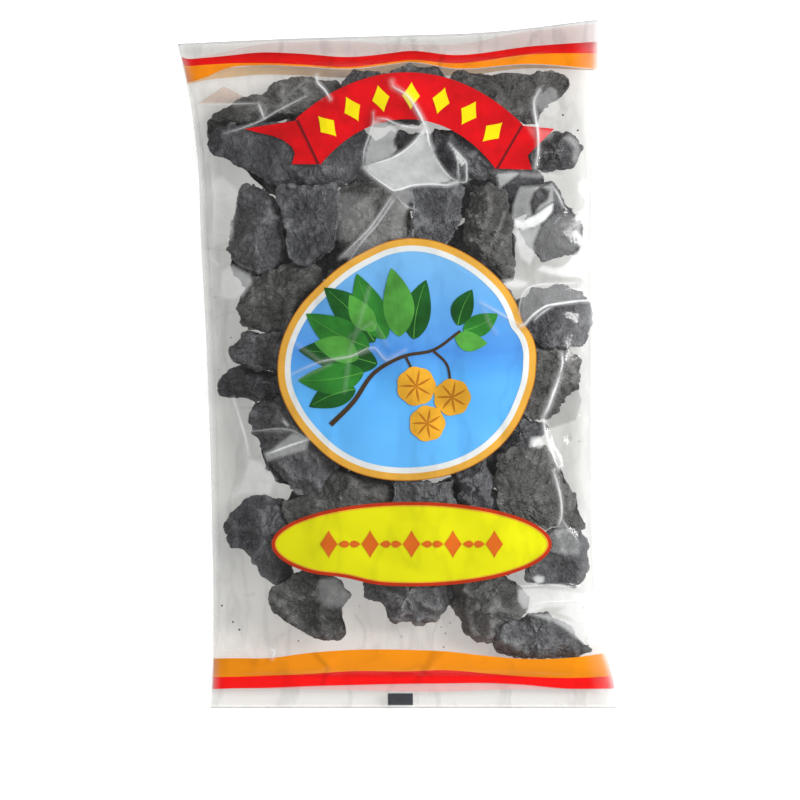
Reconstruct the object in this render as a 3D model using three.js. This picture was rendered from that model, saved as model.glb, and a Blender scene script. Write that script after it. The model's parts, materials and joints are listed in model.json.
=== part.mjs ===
// A clear plastic pouch of dried black tamarind, lying on its back.
// Millimetres, +Z up. X runs across the pouch, Y from its bottom seal to its top seal, and the
// pouch rests on Z = 0. The origin is under the middle of its outline.
import * as THREE from "three";

// The pouch as seen from above
const halfLength = 125; // the bottom edge's distance from the origin
const topEdge = { x: [-80, -40, 0, 33, 73], y: [116.2, 118, 119.2, 120.4, 125] };
const leftEdge = {
  v: [0, 0.03, 0.13, 0.33, 0.55, 0.7, 0.84, 0.93, 1],
  x: [-67.7, -67.3, -66.6, -67.3, -69.1, -71, -72.6, -75.8, -79.6],
};
const rightEdge = {
  v: [0, 0.03, 0.085, 0.13, 0.22, 0.43, 0.7, 0.93, 1],
  x: [79.6, 79.3, 75.9, 74.2, 72.8, 72.2, 72.4, 73.1, 73.1],
};

// The film
const filmThickness = 0.4;
const sealGap = 0.4; // between the two layers where they are sealed, kept open in the solid
const sideFold = 1; // how far the inner face stays back from the folded side edge
const seamHeight = 9; // of the side folds above the table
const crownHeight = 17.5; // of the front above the side folds, at its highest
const bottomSeal = 12; // the sealed, flat length at each end
const topSeal = 9;
const sealDroop = { bottom: 4.5, top: 2 }; // how far each end hangs below the side folds
const flatSpread = 1.7; // how early the back reaches the table, from the edges inwards
const swell = { height: 1.4, spread: 1.1 }; // the front's rise over each rind, by its radius

// The fin seal that runs down the back
const fin = { x: 2, width: 12, thickness: 0.4, clearance: 0.4, endGap: 0.8 };
const channel = { halfWidth: 7.2, slope: 2.6, depth: fin.thickness + fin.clearance };

// The grid of the film's surface
const sideColumns = 8;
const middleX = [
  fin.x - channel.halfWidth - channel.slope,
  fin.x - channel.halfWidth,
  fin.x,
  fin.x + channel.halfWidth,
  fin.x + channel.halfWidth + channel.slope,
];
const fillStations = 21;

// The dried rinds that show through the front: outline seen from above, number of ribs, side that is
// up. The single ones fill the whole depth, and the others lie over the rear layer.
const frontRinds = [
  // top left
  { ribs: 8, side: "back", outline: [
    [-67, 80], [-66, 86], [-60, 86.5], [-52, 86], [-44, 87], [-36, 88], [-26, 86.5], [-13, 84.5],
    [-10, 77], [-17, 68], [-26, 63.8], [-30, 63.5], [-36, 64.5], [-42, 65.5], [-47, 67.5], [-52, 69.5],
    [-55, 72.5], [-59, 73], [-64, 76],
  ] },
  { ribs: 7, side: "back", single: true, outline: [
    [-67, 84.5], [-64.8, 90], [-60.5, 94.1], [-56, 95.2], [-53, 96.8], [-47.5, 97.6], [-43.2, 101.5], [-38, 103.8],
    [-32, 103.9], [-27, 103], [-20, 102.5], [-19, 94], [-24, 85], [-37, 85], [-45, 84.5], [-53, 83.5],
    [-60, 82.5],
  ] },
  // behind the ribbon
  { ribs: 9, side: "inside", single: true, outline: [
    [-19, 97], [-18.7, 104.5], [-14, 107.6], [-8.5, 107.3], [-5, 105.6], [0, 107.7], [4, 109], [8.5, 108.6],
    [13, 107.8], [17, 105], [18, 98], [14, 92], [8, 88], [0, 86], [-8, 86], [-14, 89],
  ] },
  { ribs: 9, side: "inside", single: true, outline: [
    [18.7, 101], [19.8, 105], [23.5, 106], [28, 104.4], [32, 104], [38, 105.1], [44, 104.6],
    [50, 105.2], [55, 104.8], [57, 106], [60, 104], [62, 101.5], [61.5, 98], [57, 97], [54, 93],
    [52, 89], [47, 87], [42, 88], [36, 91], [29, 94], [23, 97],
  ] },
  { ribs: 6, side: "back", single: true, outline: [
    [46, 75], [50, 78], [53, 80.5], [57, 83.5], [60, 82], [62, 84], [65.8, 83], [67.3, 79.5],
    [66, 75], [64.5, 72], [61, 70.3], [54, 69.7], [49, 71],
  ] },
  { ribs: 7, side: "back", outline: [
    [11.5, 83], [20, 84.5], [30, 84], [38, 80], [44, 73], [46, 69], [42, 66], [36, 67], [29, 66.8],
    [20, 66.8], [14, 73],
  ] },
  // between the ribbon and the medallion
  { ribs: 8, side: "back", outline: [
    [-57.5, 61], [-56, 63.5], [-52, 64.7], [-48, 63.8], [-45, 60.5], [-42, 56], [-40, 50], [-40, 43],
    [-42, 37], [-46, 33.5], [-52, 33], [-57, 35], [-60, 38], [-61, 44], [-60.3, 50], [-59, 55],
  ] },
  { ribs: 8, side: "inside", outline: [
    [-43, 61], [-39, 64], [-34, 65], [-27, 66], [-21, 63.5], [-20.3, 56], [-21, 49], [-21.8, 43], [-25, 38],
    [-31, 35.5], [-37, 36.5], [-38.7, 43], [-38.7, 50], [-41, 57],
  ] },
  { ribs: 8, side: "back", outline: [
    [-21, 56], [-20, 61], [-13, 65], [-6, 63], [3, 61], [5, 55], [4, 47], [2, 41.5], [-4, 36],
    [-12, 34], [-18, 38], [-20.8, 45],
  ] },
  { ribs: 7, side: "inside", outline: [
    [6, 62], [13, 65.5], [20, 66], [24, 62], [23, 52], [20.5, 45], [15, 39.5], [8, 39], [5, 43],
    [6.5, 50],
  ] },
  { ribs: 8, side: "back", outline: [
    [26, 62], [30, 65], [36, 64.3], [40, 60.5], [41.3, 54], [41, 46], [41, 39], [42.6, 34], [42, 30.5],
    [37, 30.5], [31, 34], [26, 40], [24, 47], [24.6, 55],
  ] },
  { ribs: 8, side: "back", outline: [
    [48, 60], [51, 64.5], [55, 65.5], [58, 63.5], [60.5, 58], [64, 55], [66.5, 50], [67, 44],
    [63, 40], [58, 38.5], [53, 37.5], [50, 40], [46, 43], [44.5, 50], [46, 56],
  ] },
  // left of the medallion
  { ribs: 8, side: "back", outline: [
    [-52, 31.5], [-46, 32.5], [-40, 35.5], [-33, 36.5], [-26.5, 34.5], [-27, 27], [-31, 20], [-36, 13.5],
    [-43, 11.6], [-52, 11.8], [-55.5, 13], [-56.6, 17.5], [-57.6, 23.5], [-54.5, 28],
  ] },
  { ribs: 7, side: "inside", single: true, outline: [
    [-50, 12.3], [-56, 12], [-56.5, 9], [-59.5, 6], [-61, 3], [-57.5, 0], [-52, -2], [-46, -3],
    [-38, -2], [-34.5, 4], [-34.5, 9.5], [-38, 12.5], [-44, 11.3],
  ] },
  { ribs: 5, side: "back", single: true, outline: [
    [-65, -8], [-64, -5], [-61, -2.7], [-57, -0.6], [-52, -0.6], [-47, -0.6], [-39, -0.6], [-36, -7],
    [-40, -12.6], [-48, -13.6], [-53, -13], [-57, -12.2], [-60, -12.8], [-61.7, -14.4], [-64, -12],
  ] },
  { ribs: 9, side: "back", outline: [
    [-53, -14.5], [-53, -21], [-50, -29], [-45, -36.4], [-40.5, -41], [-39, -44.5], [-34, -46],
    [-30, -47], [-26, -43], [-22, -37], [-20.5, -28], [-24, -18], [-33, -12.5], [-42, -11.5],
    [-48, -11.5],
  ] },
  // right of the medallion
  { ribs: 9, side: "back", outline: [
    [46, 15], [45.3, 21], [48, 26.5], [53, 28.5], [60, 28.5], [65, 27.5], [69.5, 23], [70.5, 17],
    [69.7, 11.5], [67, 6.3], [62, 6.8], [56, 6], [50.5, 7.5], [48, 11],
  ] },
  { ribs: 8, side: "inside", outline: [
    [47, 5.5], [53, 4.8], [60, 4.8], [65.5, 3.5], [66.3, -2], [64.3, -5], [65.7, -9], [61, -12],
    [57, -16.5], [54, -19], [49, -19.7], [44, -18], [42.5, -10], [43, -2],
  ] },
  { ribs: 5, side: "back", outline: [
    [43, -19.5], [49, -20.3], [54, -20.8], [54.4, -26], [50, -26.7], [47, -30], [43, -29.7],
    [40.5, -27], [36, -26], [35, -22], [39, -20],
  ] },
  { ribs: 9, side: "back", outline: [
    [39, -31], [43, -31.5], [47, -31.3], [51, -30], [54.5, -31], [57.5, -36], [60.5, -41], [63.5, -48],
    [66, -54], [67.5, -59], [62, -59], [57, -58.3], [50, -56], [43, -56], [37, -51], [35.4, -44],
    [36, -36],
  ] },
  { ribs: 8, side: "inside", single: true, outline: [
    [55.5, -58.8], [66, -60.4], [68.7, -66], [69, -73], [66.5, -79.5], [60, -80.7], [52, -80],
    [47, -78], [46.5, -73], [50.5, -66], [54, -62],
  ] },
  // under the medallion
  { ribs: 8, side: "back", outline: [
    [-28, 26], [-24, 33.5], [-16, 32.3], [-10, 30], [-8, 22], [-10, 14], [-16, 9], [-24, 9],
    [-30, 14], [-29, 20],
  ] },
  { ribs: 8, side: "inside", outline: [
    [-6, 32], [0, 36], [4, 38.3], [10, 36], [14, 29], [13, 20], [9, 13], [1, 11.3], [-5, 15],
    [-6, 24],
  ] },
  { ribs: 8, side: "back", outline: [
    [16, 36], [22, 37.5], [27, 36], [34, 30], [40, 27.5], [43, 20], [40, 13], [32, 11.3], [23, 12],
    [16, 16], [15, 26],
  ] },
  { ribs: 8, side: "inside", outline: [
    [-33, 3], [-28, 7], [-20, 7], [-12, 7], [-8, 2], [-9, -6], [-13, -13], [-21, -15], [-30, -12],
    [-36, -6],
  ] },
  { ribs: 8, side: "back", outline: [
    [-5, 9], [3, 9.3], [11, 10.3], [15, 4], [14, -5], [9, -12], [1, -13.6], [-5, -11], [-7, -2],
  ] },
  { ribs: 8, side: "inside", outline: [
    [18, 9], [27, 9.5], [36, 9], [41, 4], [40, -6], [36, -14], [28, -17], [19, -14], [16, -4],
    [17, 4],
  ] },
  { ribs: 8, side: "back", outline: [
    [-20, -18], [-12, -15.7], [-5, -14.7], [-1, -19], [-0.5, -28], [-3, -36], [-11, -38], [-19, -35],
    [-20, -26],
  ] },
  { ribs: 8, side: "back", outline: [
    [3, -17], [11, -15], [18, -17], [21, -24], [20, -33], [16, -40.5], [8, -40.3], [2, -38],
    [1.5, -28],
  ] },
  { ribs: 6, side: "inside", outline: [
    [24, -19], [31, -20], [33, -25], [38.5, -28.5], [34, -31.5], [27, -35.5], [22, -37], [23, -28],
  ] },
  // between the medallion and the oval
  { ribs: 7, side: "back", outline: [
    [-41, -56], [-41.5, -51], [-38, -49], [-31, -46.6], [-24.5, -42], [-17, -38.5], [-9, -39.5], [-2.5, -42.5], [-1.5, -50],
    [-6, -57], [-16, -60], [-27, -60.5], [-36, -59],
  ] },
  { ribs: 7, side: "inside", outline: [
    [-1, -41], [6, -42], [14, -42.3], [20, -41.5], [21, -49], [18, -56], [8, -58.5], [-1, -57],
    [-1.5, -49],
  ] },
  { ribs: 6, side: "back", outline: [
    [21.4, -39.5], [27, -36.5], [33, -32.5], [34.8, -40], [34.8, -47], [35.5, -53], [30, -57.5],
    [23, -56], [22.5, -48],
  ] },
  // under the oval
  { ribs: 7, side: "inside", outline: [
    [-34, -60.5], [-26, -60.5], [-16, -60.3], [-10, -63], [-10, -69], [-15, -73.5], [-25, -74.5],
    [-35, -73.5], [-37.5, -66],
  ] },
  { ribs: 8, side: "back", outline: [
    [-7, -59.5], [4, -60.3], [14, -60], [22, -58.3], [26, -62], [24.5, -70], [17, -73], [6, -72],
    [-4, -72], [-8, -66],
  ] },
  { ribs: 7, side: "inside", outline: [
    [28, -60], [36, -56], [44, -58.5], [50, -61.5], [48.5, -66], [45, -72], [40, -76], [32, -74],
    [27, -69],
  ] },
  // along the bottom
  { ribs: 8, side: "back", single: true, outline: [
    [-62.3, -59], [-60, -54], [-56, -49.7], [-50, -48], [-43, -49], [-38, -51], [-35.5, -54.5],
    [-38, -60], [-39, -68], [-37, -75], [-40, -79], [-46.7, -80.5], [-49.5, -75.5], [-52, -71],
    [-56, -68.3], [-61, -64.3],
  ] },
  { ribs: 8, side: "inside", single: true, outline: [
    [-44.5, -79], [-45.7, -86], [-44.5, -91], [-40, -93.7], [-34, -96.5], [-28, -98.7],
    [-22, -99.7], [-17.3, -97], [-19, -94], [-17, -91.3], [-19.5, -89], [-17, -86],
    [-17.5, -82], [-20, -77], [-27, -75.5], [-33, -75.3], [-38, -76],
  ] },
  { ribs: 8, side: "back", single: true, outline: [
    [-12, -79], [-11, -84], [-8, -86.3], [-4, -85.7], [-4.7, -90], [-2, -94], [3, -93], [8, -94.3],
    [13, -93.3], [17, -91], [20, -87.5], [19, -80], [15, -75.5], [6, -74], [-2, -74], [-10, -75.5],
  ] },
  { ribs: 8, side: "back", single: true, outline: [
    [20, -80], [20.6, -87], [23.2, -92.6], [25.6, -98.2], [30, -100.6], [33.4, -101.4], [35, -97], [38, -94],
    [44, -92.2], [48, -90], [45.5, -84], [44, -79], [37, -77], [30, -75.5], [23, -75],
  ] },
  { ribs: 9, side: "back", single: true, outline: [
    [34.5, -101.5], [35, -96], [39.5, -92.8], [45, -90], [52, -90.5], [58, -93], [63, -97],
    [67, -101], [70, -103], [67, -106], [60, -106.7], [50, -106.9], [42, -106.4], [37, -105.2],
  ] },
];

// The rear layer, which shows in the gaps: place, half length, half width and turn in degrees
const rearRinds = [
  { x: -38, y: 75, a: 17, b: 14, turn: 8, ribs: 8, side: "inside" },
  { x: 2, y: 70, a: 20, b: 14, turn: 5, ribs: 8, side: "back" },
  { x: 36, y: 66, a: 17, b: 15, turn: 35, ribs: 8, side: "inside" },
  { x: -44, y: 42, a: 18, b: 16, turn: 80, ribs: 8, side: "back" },
  { x: -10, y: 39, a: 18, b: 16, turn: 15, ribs: 8, side: "inside" },
  { x: 28, y: 37, a: 18, b: 13, turn: 60, ribs: 9, side: "back" },
  { x: -18, y: 6, a: 17, b: 16, turn: 40, ribs: 8, side: "inside" },
  { x: 14, y: 4, a: 18, b: 16, turn: 5, ribs: 8, side: "back" },
  { x: 49, y: 4, a: 21, b: 14, turn: 85, ribs: 8, side: "inside" },
  { x: -32, y: -29, a: 16.5, b: 16, turn: 10, ribs: 8, side: "back" },
  { x: -1, y: -28, a: 17, b: 15, turn: 20, ribs: 8, side: "inside" },
  { x: 32, y: -28, a: 17, b: 16, turn: 30, ribs: 8, side: "back" },
  { x: -20, y: -58, a: 23, b: 14, turn: -5, ribs: 8, side: "back" },
  { x: 24, y: -57, a: 19, b: 16, turn: 5, ribs: 8, side: "inside" },
  { x: -55, y: 83, a: 10, b: 7, turn: 0, ribs: 6, side: "back" },
  { x: -44, y: 19, a: 12, b: 8.5, turn: -4, ribs: 7, side: "inside" },
];

// How a rind is shaped
const segments = 30; // round its rim
const topRings = [0.36, 0.7, 0.92];
const underRings = [0.6];
const rindGap = 0.5; // between two neighbours
const filmGap = { front: 1.1, back: 0.7 }; // between a rind and the film
const layerGap = 0.5; // each layer's distance from the middle between them
const thinnest = 3; // the depth a rim needs between the films
const shallowest = { front: 0.52, rear: 0, single: 0.06 }; // the share of the depth a rind starts at
const deepest = { front: 1, rear: 0.48, single: 0.94 }; // and the share it ends at
const scallop = 0.06; // how far the rim goes in between two ribs
const grooveDepth = 0.2; // between two ribs, as a share of the thickness
const hollow = 0.42; // of the hollow side, as a share of the thickness
const lumps = { depth: 0.3, period: 21 };

// A smooth curve through knots
function through(at, values) {
  const curve = new THREE.CubicInterpolant(at, values, 1, new Float32Array(1));
  return (t) => curve.evaluate(THREE.MathUtils.clamp(t, at[0], at[at.length - 1]))[0];
}

const leftX = through(leftEdge.v, leftEdge.x);
const rightX = through(rightEdge.v, rightEdge.x);
const topY = through(topEdge.x, topEdge.y);

// The share of the way from the bottom edge to the top edge, and back
const lengthAt = (x) => halfLength + topY(x);
const sharesAlong = (x, y) => (y + halfLength) / lengthAt(x);

// How full the pouch is at a place: 0 on its sealed ends and folded sides, 1 in the middle
function fullness(x, y) {
  const v = sharesAlong(x, y);
  const u = (x - leftX(v)) / (rightX(v) - leftX(v));
  const start = bottomSeal / lengthAt(x);
  const end = 1 - topSeal / lengthAt(x);
  const w = THREE.MathUtils.clamp((v - start) / (end - start), 0, 1);
  const across = Math.max(0, 1 - Math.abs(2 * u - 1) ** 2.4) ** 0.6;
  const along = Math.max(0, 1 - Math.abs(2 * w - 1) ** 3.4) ** 0.62;
  return across * along;
}

// The height of the side folds and of the seals, which hang a little
function foldHeight(x, y) {
  const v = sharesAlong(x, y);
  const low = sealDroop.bottom * (1 - THREE.MathUtils.smoothstep(v, 0, 0.16));
  const high = sealDroop.top * THREE.MathUtils.smoothstep(v, 0.86, 1);
  return seamHeight - low - high;
}

// The middle and the mean radius of an outline
function middleOf(outline) {
  let area = 0;
  let x = 0;
  let y = 0;
  outline.forEach(([x0, y0], i) => {
    const [x1, y1] = outline[(i + 1) % outline.length];
    const cross = x0 * y1 - x1 * y0;
    area += cross / 2;
    x += ((x0 + x1) * cross) / 6;
    y += ((y0 + y1) * cross) / 6;
  });
  return { x: x / area, y: y / area, radius: Math.sqrt(Math.abs(area) / Math.PI) };
}

const middles = frontRinds.map((r) => middleOf(r.outline));

// The front rises a little over each piece of the front layer
function swellAt(x, y) {
  let rise = 0;
  for (const m of middles) {
    const d2 = (x - m.x) ** 2 + (y - m.y) ** 2;
    rise = Math.max(rise, swell.height * Math.exp(-d2 / (swell.spread * m.radius) ** 2));
  }
  return rise;
}

function channelAt(x) {
  const beside = Math.abs(x - fin.x) - channel.halfWidth;
  return channel.depth * (1 - THREE.MathUtils.clamp(beside / channel.slope, 0, 1));
}

// Outer face of the front and of the back film
function frontOuter(x, y) {
  const full = fullness(x, y);
  const rise = (crownHeight + swellAt(x, y)) * full;
  return foldHeight(x, y) + sealGap / 2 + filmThickness + rise;
}

function backOuter(x, y) {
  const full = Math.min(1, flatSpread * fullness(x, y));
  const reached = 1 - (1 - full) ** 1.6;
  const sealed = foldHeight(x, y) - sealGap / 2 - filmThickness;
  return sealed * (1 - reached) + channelAt(x) * reached;
}

// The columns of the grid, from the left fold to the right one, at a station
function columnsAt(v, inset) {
  const left = leftX(v) + inset;
  const right = rightX(v) - inset;
  const xs = [];
  // closer together near the fold, where the film turns
  const easing = (i) => (i / sideColumns) ** 1.35;
  for (let i = 0; i < sideColumns; i++) xs.push(THREE.MathUtils.lerp(left, middleX[0], easing(i)));
  xs.push(...middleX);
  for (let i = sideColumns - 1; i >= 0; i--) {
    xs.push(THREE.MathUtils.lerp(right, middleX[middleX.length - 1], easing(i)));
  }
  return xs;
}

// The stations of the grid: the cut edge, the seal's inner edge, and closer together near the seals
function stations() {
  const start = bottomSeal / (2 * halfLength);
  const end = 1 - topSeal / (2 * halfLength);
  const vs = [0, start * 0.55, start];
  for (let i = 1; i < fillStations; i++) {
    const t = i / fillStations;
    const eased = t - (0.5 * Math.sin(2 * Math.PI * t)) / (2 * Math.PI);
    vs.push(THREE.MathUtils.lerp(start, end, eased));
  }
  vs.push(end, (end + 1) / 2, 1);
  return vs;
}

// The film: one tube, flat at both ends, with an outer and an inner face
function filmGeometry() {
  const vs = stations();
  const positions = [];
  const loopOf = (v, inner) => {
    const xs = columnsAt(v, inner ? sideFold : 0);
    const shift = inner ? filmThickness : 0;
    const placed = (x, heightOf, sign) => {
      const y = v * lengthAt(x) - halfLength;
      return [x, y, heightOf(x, y) - sign * shift];
    };
    const front = xs.map((x) => placed(x, frontOuter, 1));
    const back = xs.map((x) => placed(x, backOuter, -1)).reverse();
    return [...front, ...back];
  };
  const outer = vs.map((v) => loopOf(v, false));
  const inner = vs.map((v) => loopOf(v, true));
  const count = outer[0].length;
  for (const loop of [...outer, ...inner]) for (const p of loop) positions.push(...p);
  const index = [];
  const quad = (a, b, c, d) => index.push(a, b, c, a, c, d);
  const outerAt = (s, i) => s * count + (i % count);
  const innerAt = (s, i) => (vs.length + s) * count + (i % count);
  for (let i = 0; i < count; i++) {
    for (let s = 0; s + 1 < vs.length; s++) {
      quad(outerAt(s, i), outerAt(s, i + 1), outerAt(s + 1, i + 1), outerAt(s + 1, i));
      quad(innerAt(s, i + 1), innerAt(s, i), innerAt(s + 1, i), innerAt(s + 1, i + 1));
    }
    const last = vs.length - 1;
    quad(innerAt(0, i), innerAt(0, i + 1), outerAt(0, i + 1), outerAt(0, i));
    quad(outerAt(last, i), outerAt(last, i + 1), innerAt(last, i + 1), innerAt(last, i));
  }
  const geometry = new THREE.BufferGeometry();
  geometry.setAttribute("position", new THREE.Float32BufferAttribute(positions, 3));
  geometry.setIndex(index);
  return geometry;
}

// The fin seal: a flat strip that follows the back film in its channel
function finGeometry() {
  const vs = stations();
  const xs = [fin.x - fin.width / 2, fin.x + fin.width / 2];
  const positions = [];
  for (const v of vs) {
    const spots = xs.map((x) => {
      const y = THREE.MathUtils.clamp(
        v * lengthAt(x) - halfLength,
        fin.endGap - halfLength,
        topY(x) - fin.endGap,
      );
      return [x, y, backOuter(x, y) - fin.clearance];
    });
    const [[x0, y0, z0], [x1, y1, z1]] = spots;
    positions.push(x0, y0, z0, x1, y1, z1, x1, y1, z1 - fin.thickness, x0, y0, z0 - fin.thickness);
  }
  const index = [];
  for (let s = 0; s + 1 < vs.length; s++) {
    for (let i = 0; i < 4; i++) {
      const a = s * 4 + i;
      const b = s * 4 + ((i + 1) % 4);
      index.push(a, b, b + 4, a, b + 4, a + 4);
    }
  }
  const last = (vs.length - 1) * 4;
  index.push(0, 2, 1, 0, 3, 2, last, last + 1, last + 2, last, last + 2, last + 3);
  const geometry = new THREE.BufferGeometry();
  geometry.setAttribute("position", new THREE.Float32BufferAttribute(positions, 3));
  geometry.setIndex(index);
  return geometry;
}

// The depth between the films at a place
const floorAt = (x, y) => backOuter(x, y) + filmThickness + filmGap.back;
const ceilingAt = (x, y) => frontOuter(x, y) - filmThickness - filmGap.front;

// How far a ray from the middle of an outline goes before it leaves it
function reachOf(outline, middle, angle) {
  const [dx, dy] = [Math.cos(angle), Math.sin(angle)];
  let reach = Infinity;
  outline.forEach(([x0, y0], i) => {
    const [x1, y1] = outline[(i + 1) % outline.length];
    const [ex, ey] = [x1 - x0, y1 - y0];
    const cross = dx * ey - dy * ex;
    if (Math.abs(cross) < 1e-9) return;
    const [ox, oy] = [x0 - middle.x, y0 - middle.y];
    const along = (ox * ey - oy * ex) / cross;
    const share = (ox * dy - oy * dx) / cross;
    if (along > 0 && share >= 0 && share <= 1) reach = Math.min(reach, along);
  });
  return reach;
}

function reachOfEllipse(r, angle) {
  const t = angle - THREE.MathUtils.degToRad(r.turn);
  return 1 / Math.hypot(Math.cos(t) / r.a, Math.sin(t) / r.b);
}

// A point's distance from a closed line, below zero inside it
function distanceOutside(x, y, line) {
  let nearest = Infinity;
  let inside = false;
  line.forEach(([x0, y0], i) => {
    const [x1, y1] = line[(i + 1) % line.length];
    const [ex, ey] = [x1 - x0, y1 - y0];
    const share = THREE.MathUtils.clamp(((x - x0) * ex + (y - y0) * ey) / (ex * ex + ey * ey), 0, 1);
    nearest = Math.min(nearest, Math.hypot(x - x0 - share * ex, y - y0 - share * ey));
    if (y0 > y !== y1 > y && x < x0 + ((y - y0) / ey) * ex) inside = !inside;
  });
  return inside ? -nearest : nearest;
}

// The rim of a rind, drawn in wherever it would touch the rims before it or the film
function rimOf(r, middle, phase, others) {
  const rim = [];
  for (let i = 0; i < segments; i++) {
    const angle = (i / segments) * Math.PI * 2;
    const fold = 1 - Math.abs(Math.sin((r.ribs * angle) / 2 + phase)) ** 0.7;
    const reach = r.outline ? reachOf(r.outline, middle, angle) : reachOfEllipse(r, angle);
    let radius = reach * (1 - scallop * fold);
    const clearAt = (s) => {
      const x = middle.x + s * Math.cos(angle);
      const y = middle.y + s * Math.sin(angle);
      if (ceilingAt(x, y) - floorAt(x, y) < thinnest) return false;
      return others.every((other) => distanceOutside(x, y, other) >= rindGap);
    };
    while (radius > 2 && !clearAt(radius)) radius -= 0.3;
    rim.push([middle.x + radius * Math.cos(angle), middle.y + radius * Math.sin(angle)]);
  }
  return rim;
}

// A rind: a curled, lobed piece of dried fruit wall, ribbed on its back and hollow on its inside
function rindGeometry(r, middle, rim, phase, layer) {
  const up = (r.side === "back") !== (layer === "rear");
  const positions = [];
  const heightAt = (x, y, share) => {
    const floor = floorAt(x, y);
    const depth = ceilingAt(x, y) - floor;
    const low = floor + depth * shallowest[layer] + (layer === "front" ? layerGap : 0);
    const high = floor + depth * deepest[layer] - (layer === "rear" ? layerGap : 0);
    return THREE.MathUtils.lerp(low, high, share);
  };
  // the share of the rind's own thickness, from its lowest to its highest face
  const rimShare = up ? 0.3 : 0.7;
  const shareAt = (x, y, rho, angle, top) => {
    const bulging = Math.sqrt(Math.max(0, 1 - rho ** 2.8));
    const fold = 1 - Math.abs(Math.sin((r.ribs * angle) / 2 + phase)) ** 0.7;
    const ribs = 1 - grooveDepth * fold * rho ** 1.5 * 2;
    const turn = (2 * Math.PI) / lumps.period;
    const wave = Math.sin(turn * (x + 0.6 * y) + phase * 2) * Math.sin(turn * (0.7 * x - y) - phase);
    const uneven = 1 - lumps.depth * (0.5 + 0.5 * wave);
    const dip = hollow * (1 - rho ** 2) ** 2;
    const domed = top === up;
    const reach = domed ? bulging * ribs * uneven : bulging - dip * 2;
    const room = top ? 1 - rimShare : rimShare;
    return rimShare + (top ? 1 : -1) * room * THREE.MathUtils.clamp(reach, -0.5, 1);
  };
  const addPoint = (rho, i, top) => {
    const angle = (i / segments) * Math.PI * 2;
    const x = THREE.MathUtils.lerp(middle.x, rim[i][0], rho);
    const y = THREE.MathUtils.lerp(middle.y, rim[i][1], rho);
    const share = rho === 1 ? rimShare : shareAt(x, y, rho, angle, top);
    positions.push(x, y, heightAt(x, y, share));
  };
  addPoint(0, 0, true);
  for (const rho of topRings) for (let i = 0; i < segments; i++) addPoint(rho, i, true);
  for (let i = 0; i < segments; i++) addPoint(1, i, true);
  for (const rho of [...underRings].reverse()) for (let i = 0; i < segments; i++) addPoint(rho, i, false);
  addPoint(0, 0, false);

  const index = [];
  const ringCount = topRings.length + 1 + underRings.length;
  const lastPoint = ringCount * segments + 1;
  const at = (ring, i) => 1 + ring * segments + (i % segments);
  for (let i = 0; i < segments; i++) {
    index.push(0, at(0, i), at(0, i + 1));
    for (let k = 0; k + 1 < ringCount; k++) {
      index.push(at(k, i), at(k + 1, i), at(k + 1, i + 1));
      index.push(at(k, i), at(k + 1, i + 1), at(k, i + 1));
    }
    index.push(lastPoint, at(ringCount - 1, i + 1), at(ringCount - 1, i));
  }
  const geometry = new THREE.BufferGeometry();
  geometry.setAttribute("position", new THREE.Float32BufferAttribute(positions, 3));
  geometry.setIndex(index);
  return geometry;
}

const filmMaterial = new THREE.MeshStandardMaterial({
  color: 0xe8e8e4,
  roughness: 0.08,
  metalness: 0,
  transparent: true,
  opacity: 0.25,
});
const finMaterial = new THREE.MeshStandardMaterial({
  color: 0xdcdcd8,
  roughness: 0.12,
  metalness: 0,
  transparent: true,
  opacity: 0.4,
});
const rindMaterial = new THREE.MeshStandardMaterial({ color: 0x2b2a2c, roughness: 0.62, metalness: 0 });

function named(name, geometry, material) {
  geometry.computeVertexNormals();
  const mesh = new THREE.Mesh(geometry, material);
  mesh.name = name;
  return mesh;
}

function rinds() {
  const group = new THREE.Group();
  const frontRims = [];
  const singleRims = [];
  frontRinds.forEach((r, i) => {
    const phase = THREE.MathUtils.seededRandom(i + 1) * Math.PI * 2;
    const rim = rimOf(r, middles[i], phase, frontRims);
    frontRims.push(rim);
    if (r.single) singleRims.push(rim);
    const geometry = rindGeometry(r, middles[i], rim, phase, r.single ? "single" : "front");
    group.add(named(`rind_front_${String(i + 1).padStart(2, "0")}`, geometry, rindMaterial));
  });
  const rearRims = [...singleRims];
  rearRinds.forEach((r, i) => {
    const phase = THREE.MathUtils.seededRandom(i + 101) * Math.PI * 2;
    const rim = rimOf(r, r, phase, rearRims);
    rearRims.push(rim);
    const geometry = rindGeometry(r, r, rim, phase, "rear");
    group.add(named(`rind_rear_${String(i + 1).padStart(2, "0")}`, geometry, rindMaterial));
  });
  return group;
}

const pouch = new THREE.Group();
pouch.add(named("pouch_film", filmGeometry(), filmMaterial));
pouch.add(named("fin_seal", finGeometry(), finMaterial));
pouch.add(rinds());

export default pouch;
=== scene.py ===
# A clear pouch of dried black tamarind, seen from straight above.
# Lengths in the tables are in millimetres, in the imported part's own frame.
import json
import math

import bpy
import numpy as np
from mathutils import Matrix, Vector, noise

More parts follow.
